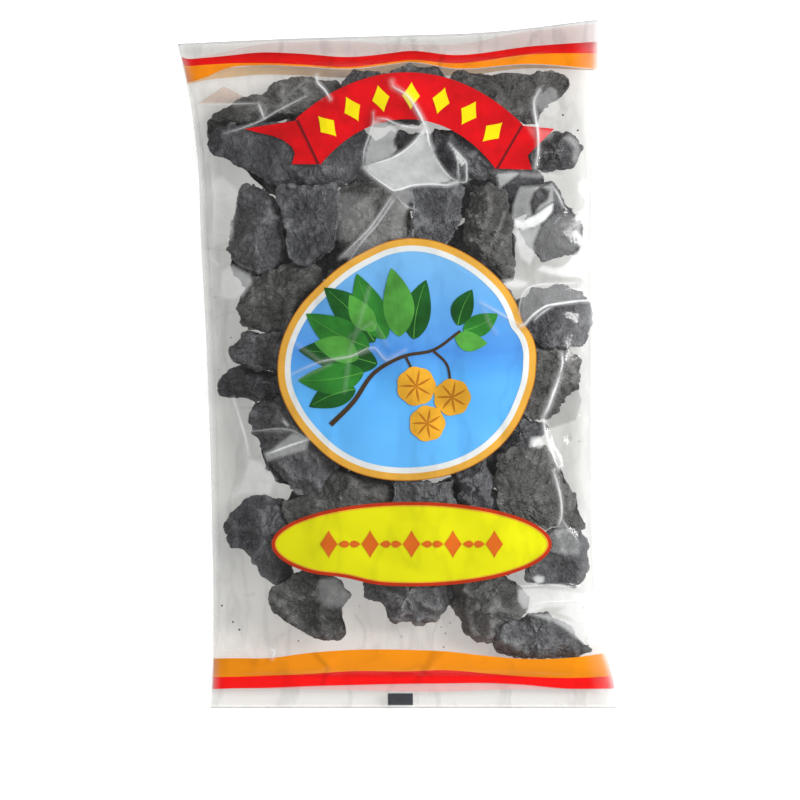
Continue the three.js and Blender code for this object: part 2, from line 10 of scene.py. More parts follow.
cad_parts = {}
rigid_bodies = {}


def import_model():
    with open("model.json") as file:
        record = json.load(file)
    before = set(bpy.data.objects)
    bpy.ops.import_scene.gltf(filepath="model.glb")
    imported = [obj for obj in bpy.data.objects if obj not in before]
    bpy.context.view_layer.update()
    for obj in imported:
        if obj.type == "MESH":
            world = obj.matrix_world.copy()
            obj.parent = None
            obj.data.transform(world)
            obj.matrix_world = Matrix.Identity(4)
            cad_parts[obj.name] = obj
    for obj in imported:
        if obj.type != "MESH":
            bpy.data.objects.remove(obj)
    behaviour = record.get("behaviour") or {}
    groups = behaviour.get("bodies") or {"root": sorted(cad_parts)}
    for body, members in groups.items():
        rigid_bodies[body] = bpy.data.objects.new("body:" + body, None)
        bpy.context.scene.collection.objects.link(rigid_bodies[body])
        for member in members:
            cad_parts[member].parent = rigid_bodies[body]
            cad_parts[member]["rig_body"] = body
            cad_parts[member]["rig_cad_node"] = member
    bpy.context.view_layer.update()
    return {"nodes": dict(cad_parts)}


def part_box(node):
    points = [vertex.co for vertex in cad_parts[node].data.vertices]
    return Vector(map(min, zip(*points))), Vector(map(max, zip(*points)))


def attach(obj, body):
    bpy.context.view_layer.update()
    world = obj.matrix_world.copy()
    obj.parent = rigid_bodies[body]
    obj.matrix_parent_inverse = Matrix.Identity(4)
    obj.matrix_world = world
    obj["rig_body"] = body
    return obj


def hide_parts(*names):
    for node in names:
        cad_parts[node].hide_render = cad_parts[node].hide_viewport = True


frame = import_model()
print("frame loaded with", len(frame["nodes"]), "nodes")

mm = 0.001
scene = bpy.context.scene
bpy.ops.object.select_all(action="DESELECT")

# Camera, above the middle of the photo
camera = {"x": 1.1, "y": -13, "focus": 10, "frameWidth": 289.6, "lens": 200}
eyeDistance = camera["frameWidth"] * camera["lens"] / 36


def addCamera():
    place = (camera["x"] * mm, camera["y"] * mm, (camera["focus"] + eyeDistance) * mm)
    bpy.ops.object.camera_add(location=place, rotation=(0, 0, 0))
    made = bpy.context.object
    made.name = "pouchCamera"
    made.data.lens = camera["lens"]
    made.data.clip_start = 0.05
    made.data.clip_end = 10
    scene.camera = made


addCamera()
print("camera placed")


# Small helpers for the modelling
def selectOnly(piece):
    bpy.ops.object.select_all(action="DESELECT")
    piece.select_set(True)
    bpy.context.view_layer.objects.active = piece


def applyModifiers(piece):
    selectOnly(piece)
    for modifier in list(piece.modifiers):
        bpy.ops.object.modifier_apply(modifier=modifier.name)


def readPoints(piece):
    points = np.zeros(len(piece.data.vertices) * 3)
    piece.data.vertices.foreach_get("co", points)
    return points.reshape(-1, 3) / mm


def writePoints(piece, points):
    piece.data.vertices.foreach_set("co", (np.asarray(points) * mm).ravel())
    piece.data.update()


def writeMask(piece, name, values):
    mask = piece.data.attributes.new(name, "FLOAT", "POINT")
    mask.data.foreach_set("value", np.asarray(values, dtype=np.float32))


def editWhole(piece, *steps):
    # runs edit-mode steps on all of a piece
    selectOnly(piece)
    bpy.ops.object.mode_set(mode="EDIT")
    bpy.ops.mesh.select_all(action="SELECT")
    for step, values in steps:
        step(**values)
    bpy.ops.object.mode_set(mode="OBJECT")


def turnOver(piece):
    editWhole(piece, (bpy.ops.mesh.flip_normals, {}))


def closeGaps(piece, distance=0.01):
    # merges points that lie on each other
    editWhole(piece, (bpy.ops.mesh.remove_doubles, {"threshold": distance * mm}))


def joinPieces(name, pieces):
    bpy.ops.object.select_all(action="DESELECT")
    for piece in pieces:
        piece.select_set(True)
    bpy.context.view_layer.objects.active = pieces[0]
    bpy.ops.object.join()
    pieces[0].name = name
    return pieces[0]


def dropOnto(piece, target, fromAbove=True):
    # moves each point straight down, or up, onto the target
    wrap = piece.modifiers.new("lay", "SHRINKWRAP")
    wrap.target = target
    wrap.wrap_method = "PROJECT"
    wrap.use_project_z = True
    wrap.use_negative_direction = fromAbove
    wrap.use_positive_direction = not fromAbove
    applyModifiers(piece)


def finishPiece(piece, material, nodes=()):
    piece.data.materials.clear()
    piece.data.materials.append(material)
    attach(piece, "root")
    if nodes:
        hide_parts(*nodes)


def smoothStep(low, high, value):
    t = np.clip((value - low) / (high - low), 0, 1)
    return t * t * (3 - 2 * t)


def curveThrough(at, values, t):
    # a smooth line through knots
    at = np.asarray(at, float)
    values = np.asarray(values, float)
    slopes = np.gradient(values, at)
    t = np.clip(t, at[0], at[-1])
    i = np.clip(np.searchsorted(at, t) - 1, 0, len(at) - 2)
    span = at[i + 1] - at[i]
    s = (t - at[i]) / span
    return (
        (2 * s**3 - 3 * s**2 + 1) * values[i]
        + (s**3 - 2 * s**2 + s) * span * slopes[i]
        + (-2 * s**3 + 3 * s**2) * values[i + 1]
        + (s**3 - s**2) * span * slopes[i + 1]
    )


# The film's shape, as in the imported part
film = {
    "columns": 216,
    "rows": 344,
    "bottomY": -125,
    "topX": [-80, -40, 0, 33, 73],
    "topY": [116.2, 118, 119.2, 120.4, 125],
    "leftV": [0, 0.03, 0.13, 0.33, 0.55, 0.7, 0.84, 0.93, 1],
    "leftX": [-67.7, -67.3, -66.6, -67.3, -69.1, -71, -72.6, -75.8, -79.6],
    "rightV": [0, 0.03, 0.085, 0.13, 0.22, 0.43, 0.7, 0.93, 1],
    "rightX": [79.6, 79.3, 75.9, 74.2, 72.8, 72.2, 72.4, 73.1, 73.1],
    "seamHeight": 9,
    "crownHeight": 17.5,
    "bottomSeal": 12,
    "topSeal": 9,
    "bottomDroop": 4.5,
    "topDroop": 2,
    "flatSpread": 1.7,
    "swellHeight": 1.4,
    "sealHalf": 0.5,
    "backDim": 0.45,
    "hem": 0.012,
    "bunching": 0.35,
    "channelX": 2,
    "channelHalf": 7.2,
    "channelSlope": 2.6,
    "channelDepth": 0.8,
}


def lengthAt(x):
    return curveThrough(film["topX"], film["topY"], x) - film["bottomY"]


def sharesAt(x, y):
    v = (y - film["bottomY"]) / lengthAt(x)
    left = curveThrough(film["leftV"], film["leftX"], v)
    right = curveThrough(film["rightV"], film["rightX"], v)
    return (x - left) / (right - left), v


def fullnessAt(x, y):
    u, v = sharesAt(x, y)
    start = film["bottomSeal"] / lengthAt(x)
    end = 1 - film["topSeal"] / lengthAt(x)
    w = np.clip((v - start) / (end - start), 0, 1)
    across = np.maximum(0, 1 - np.abs(2 * u - 1) ** 2.4) ** 0.6
    along = np.maximum(0, 1 - np.abs(2 * w - 1) ** 3.4) ** 0.62
    return across * along


def foldHeightAt(x, y):
    v = sharesAt(x, y)[1]
    low = film["bottomDroop"] * (1 - smoothStep(0, 0.16, v))
    high = film["topDroop"] * smoothStep(0.86, 1, v)
    return film["seamHeight"] - low - high


def rindMiddles():
    middles = []
    for name in sorted(frame["nodes"]):
        if name.startswith("rind_front"):
            low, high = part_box(name)
            middle = (low + high) / 2 / mm
            radius = ((high.x - low.x) + (high.y - low.y)) / 4 / mm * 0.9
            middles.append((middle.x, middle.y, radius))
    return middles


# Folds of the front film: height and half width in millimetres, how strong the painted highlight along the
# fold is, and its line
folds = [
    # the loose loop of film under the ribbon
    (0.9, 1.6, 0.55, [(-1.9, 102.4), (-1.4, 100.6), (1.1, 99), (3.5, 97.4), (5.9, 94.4),
        (7.7, 91.3), (9.2, 88.3)]),
    (0.9, 1.5, 1, [(5.9, 94.4), (7.7, 91.3), (9.2, 88.3), (10.2, 85.9)]),
    (0.8, 1.3, 0.9, [(10.2, 85.9), (8.3, 82.9), (5.9, 79.9), (2.3, 76.9), (-1.9, 74.5),
        (-6.8, 72.9), (-11.7, 71.4)]),
    (0.8, 1.7, 0.95, [(10.2, 85.9), (11, 83.6), (11.4, 80.7), (12.5, 77.8)]),
    (0.7, 1.1, 0.6, [(12.5, 77.8), (14.4, 73.8), (16.8, 70.2), (19.8, 67.2), (21.9, 66)]),
    (0.9, 1.4, 1, [(-11.9, 71.4), (-9.8, 69), (-6.8, 66.6), (-3.7, 64.5), (-1.3, 63), (1.1, 63.3),
        (4.7, 64.5), (9.5, 65.1), (14.4, 65.1), (18, 64.8), (21.9, 66)]),
    (0.6, 1, 0.42, [(-8.6, 91.3), (-8.6, 87.7), (-9.8, 83.5), (-11.9, 76.9), (-12.2, 73.8), (-11.9, 71.4)]),
    (0.6, 1, 0.55, [(-7.3, 88.9), (-3.7, 88.6), (-1.3, 87.4), (2.3, 86.2), (5.9, 85.6), (9.9, 85.8)]),
    (0.5, 1, 0.6, [(18.9, 79.9), (20.4, 78.1), (23.4, 75), (24.9, 73.2), (25.2, 69.6), (24.9, 66),
        (21.9, 66)]),
    (0.4, 0.9, 0.4, [(20.4, 78.1), (21.9, 73.8), (22.2, 69.6), (22.5, 66.6)]),
    # from the loop down to the medallion
    (0.7, 1.3, 0.42, [(-1.1, 61.9), (-6.2, 54.3), (-9.8, 49.2), (-14.8, 44.2), (-20.6, 38.4)]),
    (0.6, 1.2, 0.36, [(-0.4, 60.5), (-4, 55), (-7.6, 50), (-12.7, 44.2), (-17, 38)]),
    (0.5, 1.1, 0.34, [(-0.4, 61.2), (3.3, 57.2), (7.6, 55.7)]),
    (0.4, 1.1, 0.26, [(4, 45.6), (7.6, 50), (11.2, 52.1)]),
    (0.4, 1, 0.24, [(8.3, 54.3), (9.8, 52.5), (11.6, 50.7)]),
    (0.4, 1.3, 0.15, [(22.1, 65.2), (19.2, 59.4), (17.7, 53.6)]),
    # top left
    (0.5, 1, 0.4, [(-72.5, 94.2), (-61.1, 94.2), (-50.2, 94.4)]),
    (0.7, 1.1, 0.75, [(-50.2, 94.4), (-49, 91.3), (-48.1, 88.9)]),
    (0.5, 0.9, 0.4, [(-62.6, 83.5), (-55.6, 85.6), (-48.4, 88.6), (-44.8, 90.8), (-39.3, 93.8),
        (-32.7, 97.1)]),
    (0.3, 0.9, 0.18, [(-44.8, 90.8), (-39.5, 97), (-35.1, 101), (-30.3, 96.8), (-27.1, 95.9)]),
    (0.7, 1.1, 0.85, [(-29.1, 104.6), (-28.8, 102.2), (-26.1, 99.2), (-24.1, 95.9)]),
    # right side
    (0.9, 1.4, 0.8, [(51.5, 99.2), (49.7, 95.6), (49.7, 92.6), (50.2, 88.9), (50.9, 84.7),
        (51.2, 79.9), (50.9, 75), (50, 71)]),
    (0.5, 1.1, 0.5, [(56, 64.8), (58.4, 61.2), (60.2, 56.9)]),
    (0.5, 1, 0.5, [(65.5, 29.5), (60.1, 29.3), (55.4, 29), (50.6, 28.6), (47.4, 27.5), (45.4, 25),
        (44.5, 21.4), (44.4, 18.5)]),
    (0.9, 1.2, 1, [(72.8, 23), (66.2, 22.9), (61.4, 22.3), (57.2, 21.7), (54.2, 21.1), (51, 19.2),
        (48.1, 16.7), (46.3, 14.5), (44.5, 13.8)]),
    (0.4, 1, 0.45, [(56.1, 20.8), (52.5, 18.5), (49.6, 15.9)]),
    (0.8, 1.4, 0.6, [(59.6, 3.9), (59.9, 0.3), (59, -3.6)]),
    (0.8, 1.8, 0.8, [(59, -3.6), (57.6, -8), (56.6, -10.6), (54.8, -15.5), (53, -19.1)]),
    (0.8, 1.2, 0.95, [(53, -19.7), (53.6, -23.9), (55.4, -29.9), (57.2, -34.8), (58.6, -38)]),
    (0.8, 1.3, 0.6, [(56.5, -38.4), (57.9, -42.7), (59, -47.1), (59.6, -51.4), (59.4, -55.7), (58.3, -58.6)]),
    (0.4, 1, 0.35, [(59.4, -55.7), (61.9, -59.4), (64.8, -63), (66.2, -65.2)]),
    (0.5, 1, 0.45, [(43.8, -80.7), (51.8, -80), (59, -80), (66.2, -81.1)]),
    (0.6, 1.2, 0.8, [(46.7, -89.8), (48.9, -87.6), (53.2, -86.2), (60.5, -85.8), (67.7, -84.7),
        (72.8, -81.8)]),
    (0.4, 0.9, 0.25, [(39.1, 55), (37.3, 50), (34.4, 43.4)]),
    # left side
    (0.6, 1.2, 0.3, [(-67.7, 72.8), (-66.6, 66.6), (-66.2, 53.9), (-68.4, 42)]),
    (0.4, 1, 0.35, [(-68.4, 39.8), (-66.2, 37.3), (-64.1, 35.2)]),
    (0.6, 1.2, 0.65, [(-59.3, -12.4), (-56.8, -20.3), (-54.7, -27.5), (-53.8, -32.9)]),
    (0.5, 1.2, 0.25, [(-53.8, -32.9), (-54.4, -37.2), (-56.8, -43.2), (-59.3, -48.1)]),
    (0.3, 0.9, 0.3, [(-53.2, -24.2), (-37.5, -24.2), (-32.7, -26.9)]),
    (0.9, 1.4, 1, [(-47.2, -32.7), (-39.9, -29.9), (-32.7, -27.5)]),
    (0.4, 1, 0.45, [(-41.3, -20.3), (-39.5, -22.3)]),
    (0.5, 1.2, 0.4, [(-63.4, -104.3), (-58.3, -103.5), (-53.2, -102.1)]),
    (0.6, 1.2, 0.75, [(-46, -103.2), (-44.5, -103.9), (-45.2, -106.4)]),
    # across the medallion and the oval
    (0.45, 1.2, 0.25, [(-38, 8.3), (-33, 4.8), (-28.5, 1.5)]),
    (0.3, 1.2, 0.36, [(-39, -4), (-28, 0.8), (-17, 2.8), (-8, 5.8), (-4, 1.6), (3, 5)]),
    (0.35, 1.1, 0.2, [(-38, -6.5), (-31, -3), (-24, 0)]),
    (0.3, 1.1, 0.15, [(-17, 10), (-9, 15), (-6, 11), (-3.5, 6.5)]),
    (0.35, 1.2, 0.18, [(-10, 28), (-13, 17), (-17, 5), (-19, -10)]),
    (0.3, 1.1, 0.2, [(31, 22), (33, 15.5), (36, 11)]),
    (0.4, 1.2, 0.3, [(30, 22.5), (38, 18), (45.6, 13.6)]),
    (0.3, 1.4, 0, [(12, 44), (24, 33), (38, 27)]),
    (0.3, 1.6, 0, [(-30, -58), (-20, -66), (-8, -74)]),
    (0.3, 1.6, 0, [(30, -54), (38, -60), (50, -70)]),
    # pleats out of the end seals
    (0.5, 1.5, 0, [(-52, -114), (-49, -104), (-50, -96)]),
    (0.5, 1.5, 0, [(-33, -116), (-28, -111), (-20, -103)]),
    (0.5, 1.5, 0, [(9, -116), (12, -110), (15, -103)]),
    (0.4, 1.4, 0, [(44, -114), (42, -108), (36, -101)]),
    (0.5, 1.5, 0, [(62, -114), (66, -106), (70, -98)]),
    (0.5, 1.5, 0, [(-60, 110), (-54, 103), (-53, 97)]),
    (0.4, 1.5, 0, [(20, 112), (19, 107), (21, 101)]),
    (0.4, 1.5, 0, [(38, 112), (37, 108), (33, 104)]),
    (0.5, 1.5, 0, [(64, 113), (62, 106), (66, 98)]),
    # short pleats off the folded sides
    (0.4, 1.2, 0, [(-71, 41.3), (-64, 41.6), (-57, 40)]),
    (0.4, 1.2, 0, [(-69, 3.3), (-63, 3.8), (-58, 2.5)]),
    (0.4, 1.2, 0, [(-68, -40), (-60, -42), (-52, -39)]),
    (0.4, 1.2, 0, [(-67, -72), (-60, -75), (-52, -73)]),
]

# Patches of painted reflection, flat white on the film: strength, softness of the edge and outline
glarePatches = [
    # in the loop
    (0.36, 0.4, [(-9, 88.3), (-1.4, 86.9), (0, 83.6), (-1.4, 80.7), (0, 77.5), (-2.9, 74.9),
        (-6.9, 73.5), (-11.2, 72), (-11.2, 76.4), (-9.4, 82.5)]),
    (0.54, 0.35, [(-11.6, 71.3), (-6.9, 72.8), (-1.8, 74.4), (2.5, 76.9), (5.8, 79.8), (8.3, 82.9),
        (10.1, 85.4), (11.2, 81.1), (12.7, 77.5), (14.5, 73.8), (17, 70.2), (19.9, 66.6),
        (14.5, 65.2), (9.4, 65.2), (4.7, 64.4), (1.1, 63.4), (-1.4, 63), (-6.5, 66.6)]),
    (0.75, 0.3, [(18.8, 80), (20.6, 78.2), (23.5, 74.9), (25, 72.8), (23.5, 71.7), (21.7, 74.6), (21, 76.7)]),
    (0.25, 1.2, [(-3.3, 63), (4.7, 63.7), (6.2, 60.1), (3.3, 57.2), (-0.4, 60.1)]),
    # below the loop
    (0.1, 1.5, [(-21.4, 62.3), (-9, 60.8), (-8.3, 53.9), (-15.2, 44.9), (-21.4, 45.6)]),
    (0.2, 0.8, [(-1.1, 61.2), (0, 59.7), (-16.3, 38.4), (-20.3, 38.4)]),
    (0.1, 1.2, [(0, 60), (4, 56), (-4, 44), (-12, 40), (-16.5, 38.6)]),
    (0.12, 1, [(-2.5, 52.1), (-0.4, 54.3), (1.8, 52.9), (1.8, 46.3), (-1.8, 45.6), (-3.3, 48.5)]),
    # right of the ribbon
    (0.2, 0.4, [(51.4, 98.8), (52.9, 98.1), (55.4, 100.3), (57.8, 99.2), (58.3, 95.6), (59, 91.9),
        (57.2, 89.5), (54.2, 89.5), (51.8, 91.9), (49.7, 94.4)]),
    (0.14, 1, [(47.2, 85.9), (56.5, 84.3), (56.5, 82.3), (52.4, 80.5), (50.6, 79.9), (48.8, 82.9)]),
    (0.22, 0.8, [(60.1, 82.2), (62.6, 82.9), (65.9, 81.1), (66.2, 76.7), (65.2, 72.8), (63.4, 73.8),
        (64.1, 78.2)]),
    (0.4, 0.6, [(36.2, 68.8), (41.6, 69.5), (44.5, 69.3), (41.6, 67), (38.4, 64.6), (37.3, 63.7)]),
    (0.2, 0.8, [(44.5, 69.6), (55, 69.5), (60, 67.5), (52, 67.4), (45, 67.6)]),
    # the bright folds over the right rinds
    (0.85, 0.6, [(42.4, 52.5), (45.1, 51.8), (50, 53.9), (54.2, 56.9), (56.6, 58.2), (56, 55.1),
        (53.6, 52.1), (50, 49.7), (45.7, 48.5), (43, 49.7)]),
    (0.3, 0.6, [(44.5, 64.2), (42.1, 57.6), (41.8, 52.7), (45.1, 51.8), (48.9, 53.9), (48.1, 58.6),
        (49.6, 62.3), (52.1, 64.4)]),
    (0.35, 0.6, [(52.1, 64.4), (56.5, 64.8), (56.8, 59), (53.9, 57.2), (50, 54.7), (51.8, 57.6),
        (54.7, 59.4), (55.4, 63)]),
    (0.4, 0.8, [(42.4, 48.5), (50, 49.6), (52.1, 51.4), (51, 47.4), (49.3, 43.7), (50, 39.5),
        (48.1, 36.2), (44.9, 38.4), (43.3, 43.1)]),
    (0.1, 1.2, [(50.3, 44.9), (53.6, 51.4), (58.3, 54.3), (64.4, 54.7), (67.3, 48.5), (66.2, 43.1),
        (60.8, 36.9), (53.6, 35.8)]),
    (0.6, 0.8, [(63.7, 39.5), (69.9, 43.8), (71.3, 39.5), (69.9, 34.8), (66.2, 31.6), (60.1, 31.6),
        (54.2, 32.9), (51, 34), (52.9, 35.8), (56.5, 34.8), (59.6, 35.2), (62.6, 37.6)]),
    (0.5, 0.6, [(63, 47.4), (64.8, 48.9), (67, 46.3), (67.3, 42.7), (65.9, 42.4), (65.5, 45.2)]),
    (0.45, 0.8, [(38.4, 30.4), (42.7, 30.8), (47.4, 29.7), (47.1, 28.2), (43.4, 27.5), (40.2, 28.2)]),
    (0.2, 0.8, [(45.6, 26.1), (49.6, 27.9), (65.5, 29), (69.9, 23.9), (59, 22.4), (53.6, 21.4),
        (50, 18.8), (46, 15.2), (44.5, 17.4)]),
    (0.5, 0.6, [(48.5, -26.8), (51.8, -26.1), (53.6, -29), (51.8, -30.4), (48.1, -29.7)]),
    # low right
    (0.14, 1, [(59, -56.5), (63.4, -60.1), (67, -65.5), (66.2, -69.5), (59.7, -68.8), (56.8, -63.7)]),
    (0.55, 0.5, [(49.2, -77.5), (51, -76.4), (53.2, -77.1), (53.2, -78.9), (50.7, -79.6)]),
    (0.42, 0.6, [(43.8, -81.1), (53.9, -81.1), (66.2, -82.5), (69.1, -85.4), (64.4, -89.8),
        (59, -85.4), (53.6, -86.5), (48.1, -88.7), (45.6, -88.7), (43.8, -85.4)]),
    (0.45, 0.6, [(46.7, -89.4), (48.9, -87.6), (53.2, -86.2), (60.5, -85.8), (67.7, -84.7),
        (72.8, -81.1), (73.5, -99.9), (69.9, -102.8), (67.7, -96.3), (62.6, -91.9), (57.6, -89.8),
        (61.2, -88), (53.9, -88), (50.3, -89.8), (48.1, -90.5)]),
    (0.42, 0.7, [(48.1, -90.5), (54.7, -90.5), (59, -91.9), (64.8, -93.4), (69.9, -96.3),
        (67.7, -101.4), (64.8, -99.2), (61.2, -95.9), (56.1, -93)]),
    # left side
    (0.3, 0.8, [(-37.6, -25), (-32.2, -26.8), (-32.6, -30.8), (-47.1, -35.1), (-47.8, -32.9)]),
    (0.12, 1.2, [(-27.9, -78.2), (-22.1, -77.1), (-18.1, -81.8), (-17.7, -87.6), (-24.3, -88.3),
        (-28.6, -85.4)]),
    (0.3, 0.8, [(-66.2, 66.6), (-63.4, 68.1), (-57.6, 63), (-59.7, 44.9), (-67, 42.7)]),
    (0.4, 0.8, [(-63.4, 34), (-59.7, 35.8), (-53.2, 32.2), (-52.5, 30), (-55.7, 24.6),
        (-60.5, 23.2), (-64.1, 24.3)]),
    (0.35, 1, [(-53.6, -34.4), (-48.9, -35.5), (-43.8, -42), (-46, -47.1), (-58.3, -47.1), (-55.4, -41.3)]),
    # the bright right edge
    (0.16, 3.5, [(72, 101), (75.7, 101), (75.7, -105.3), (72.8, -105.3), (70.6, -49.2), (69.9, 23.2)]),
]

# Thin lines of painted shade where the film is pressed into a valley: strength, half width and line
dimLines = [
    (0.4, 0.45, [(-68.6, 41.6), (-60.5, 41.4), (-55, 40.7)]),
    (0.35, 0.45, [(-66.6, 24.1), (-59.7, 23.9)]),
    (0.3, 0.6, [(-64.8, 17), (-61.2, 18.8), (-56.8, 18.5)]),
    (0.25, 0.4, [(-64.8, 3.6), (-61.4, 3.6)]),
    (0.35, 0.45, [(-59.5, -15.6), (-51.4, -15.9), (-42.4, -16.3)]),
    (0.35, 0.5, [(-55, -33.8), (-49.6, -33.8)]),
    (0.3, 0.4, [(-58, -42.4), (-45.4, -42.5)]),
    (0.35, 0.9, [(-64.1, 35.2), (-58, 32.8)]),
    (0.3, 2.2, [(-68.1, 72), (-67.7, 59.4), (-68.1, 42.7)]),
    (0.25, 3.5, [(-64.4, -2.2), (-61.9, -20.3), (-57.6, -31.1), (-59, -45.6)]),
    (0.3, 0.5, [(62.6, -25), (63, -27.5)]),
    (0.25, 0.5, [(-66.5, 59), (-60, 58.6), (-56.5, 57.4)]),
    (0.2, 0.5, [(-67.4, 50.5), (-62, 49.8)]),
    (0.22, 0.6, [(-66.5, -62), (-63, -68), (-61.5, -78)]),
    (0.18, 0.7, [(-64, -82), (-58, -84), (-52, -83.4)]),
    (0.2, 0.5, [(-15, -91), (-11.5, -96), (-12, -102)]),
    (0.22, 0.8, [(-30, -104.6), (-25, -110), (-27, -116)]),
    (0.3, 0.5, [(18, 115), (16, 110), (15, 106)]),
    (0.25, 0.5, [(-22, 114), (-24, 109), (-26, 105)]),
]

# Broad painted shade on the film: strength, softness of the edge and outline
paintedShades = [
    (0.22, 5, [(-72, 100), (-56, 96), (-58, 40), (-52, 0), (-50, -40), (-56, -96), (-68, -96),
        (-66, -20), (-69, 50)]),
    (0.24, 2, [(-80, 120), (0, 122), (76, 128), (76, 116), (0, 112), (-80, 111)]),
    (0.42, 0.5, [(61.9, -7.6), (65.1, -8.2), (66.9, -13), (64.7, -20.3), (55.4, -23.3),
        (53.2, -19.1), (57.2, -15.5), (60.2, -11.8)]),
    (0.16, 1.2, [(51.4, 98.8), (52.9, 98.1), (55.4, 100.3), (57.8, 99.2), (61, 97.6), (61.6, 92),
        (57.2, 89.5), (54.2, 88.5), (51.8, 91.9), (49.7, 94.4)]),
    (0.06, 1, [(42, -104.5), (60, -106), (74, -104.5), (74, -116), (58, -117), (40, -115)]),
    (0.06, 1, [(-67, -106), (-50, -106), (-40, -105), (-38, -117), (-67, -118)]),
    (0.12, 0.7, [(12, -103.6), (18, -104), (11, -111), (8.5, -116), (5, -116), (9, -110)]),
]

# Where the film is taut, over the printed shapes and the left side: place and half sizes
calmAreas = [(3.6, 1.4, 50, 46), (5.3, -65, 52, 17), (2, 84, 44, 16), (-66, -5, 22, 120)]


def distanceToLine(x, y, line):
    nearest = np.full(x.shape, 1e9)
    for (x0, y0), (x1, y1) in zip(line, line[1:]):
        ex, ey = x1 - x0, y1 - y0
        share = np.clip(((x - x0) * ex + (y - y0) * ey) / (ex * ex + ey * ey), 0, 1)
        nearest = np.minimum(nearest, np.hypot(x - x0 - share * ex, y - y0 - share * ey))
    return nearest


def creaseHeightAt(x, y):
    total = np.zeros(x.shape)
    for height, width, white, line in folds:
        total = np.maximum(total, height * np.exp(-distanceToLine(x, y, line) / width))
    return total


wrinkle = {"wideHeight": 0.34, "tightHeight": 0.2, "calmed": 0.7, "sunk": 0.55, "backShare": 0.35}


def wrinkleHeightAt(x, y):
    # small uneven facets all over the film
    heights = np.zeros(x.shape)
    flat = heights.ravel()
    for i, (a, b) in enumerate(zip(x.ravel(), y.ravel())):
        wide = noise.noise((a / 17, b / 21, 3.1))
        tight = 1 - abs(noise.noise((a / 8.5 + 4, b / 10.5, 7.7))) * 2
        flat[i] = wrinkle["wideHeight"] * wide + wrinkle["tightHeight"] * tight
    calm = np.zeros(x.shape)
    for px, py, a, b in calmAreas:
        calm = np.maximum(calm, 1 - smoothStep(0.75, 1.1, np.hypot((x - px) / a, (y - py) / b)))
    return heights * (1 - wrinkle["calmed"] * calm)


def frontHeightAt(x, y):
    full = fullnessAt(x, y)
    swell = np.zeros(x.shape)
    for mx, my, radius in rindMiddles():
        d2 = (x - mx) ** 2 + (y - my) ** 2
        swell = np.maximum(swell, film["swellHeight"] * np.exp(-d2 / (1.1 * radius) ** 2))
    rise = (film["crownHeight"] + swell) * full
    return foldHeightAt(x, y) + film["sealHalf"] + rise


def backHeightAt(x, y):
    full = np.minimum(1, film["flatSpread"] * fullnessAt(x, y))
    reached = 1 - (1 - full) ** 1.6
    beside = (np.abs(x - film["channelX"]) - film["channelHalf"]) / film["channelSlope"]
    channel = film["channelDepth"] * (1 - np.clip(beside, 0, 1))
    sealed = foldHeightAt(x, y) - film["sealHalf"]
    return sealed * (1 - reached) + (channel + 0.05) * reached


def depthInside(x, y, outline):
    # how far inside an outline a point lies, negative outside
    inside = np.zeros(x.shape, bool)
    for (x0, y0), (x1, y1) in zip(outline, outline[1:] + outline[:1]):
        if y0 != y1:
            crosses = (y0 > y) != (y1 > y)
            inside ^= crosses & (x < x0 + (y - y0) * (x1 - x0) / (y1 - y0))
    distance = distanceToLine(x, y, outline + outline[:1])
    return np.where(inside, distance, -distance)


# How strong the painted highlight on the film is along folds, ends and sides, and how wide each painted
# highlight line is
glow = {
    "fold": 0.45,
    "foldWidth": 0.62,
    "ends": 0.95,
    "endWidth": 0.8,
    "left": 0.3,
    "right": 0.45,
    "sideWidth": 1.8,
    "rightMargin": 0.14,
    "across": 145,
    "along": 241,
}


def fadeFrom(distance, width):
    return np.exp(-((distance / width) ** 2))


def paintedGlareAt(x, y):
    # painted highlight and reflection: flat white patches, lines along the whiter folds, the film's ends and
    # its folded sides
    patchMap = np.zeros(x.shape)
    for strength, soft, outline in glarePatches:
        patchMap = np.maximum(patchMap, strength * smoothStep(-soft, soft, depthInside(x, y, outline)))
    for height, width, white, line in folds:
        if white:
            near = fadeFrom(distanceToLine(x, y, line), glow["foldWidth"] * width)
            patchMap = np.maximum(patchMap, glow["fold"] * white * near)
    u, v = sharesAt(x, y)
    ends = glow["ends"] * fadeFrom(np.minimum(v, 1 - v) * glow["along"], glow["endWidth"])
    sides = np.where(u < 0.5, glow["left"], glow["right"])
    sides = sides * fadeFrom(np.minimum(u, 1 - u) * glow["across"], glow["sideWidth"])
    sides = sides + glow["rightMargin"] * smoothStep(0.93, 1, u)
    return np.maximum(np.maximum(patchMap, ends), sides)


def dimnessAt(x, y):
    dim = np.zeros(x.shape)
    for strength, width, line in dimLines:
        dim = np.maximum(dim, strength * fadeFrom(distanceToLine(x, y, line), width))
    for strength, soft, outline in paintedShades:
        dim = np.maximum(dim, strength * smoothStep(-soft, soft, depthInside(x, y, outline)))
    return dim


def addGrid(name, columns, rows):
    # a flat sheet of unit size, with a corner on the origin
    bpy.ops.object.select_all(action="DESELECT")
    bpy.ops.mesh.primitive_grid_add(x_subdivisions=columns, y_subdivisions=rows, size=1, location=(0, 0, 0))
    piece = bpy.context.object
    piece.name = name
    points = readPoints(piece) * mm
    return piece, points[:, 0] + 0.5, points[:, 1] + 0.5


def addShape(name, columns, rows, placeOf):
    # a flat shape from a sheet: placeOf turns its two shares into a place
    piece, u, v = addGrid(name, columns, rows)
    x, y = placeOf(u, v)
    writePoints(piece, np.stack([x, y, np.zeros(len(x))], axis=1))
    return piece


def asSeen(x, y, z):
    # where a point shows in the photo, brought down to the height the tables are measured at
    scale = eyeDistance / (eyeDistance + camera["focus"] - z)
    return camera["x"] + (x - camera["x"]) * scale, camera["y"] + (y - camera["y"]) * scale


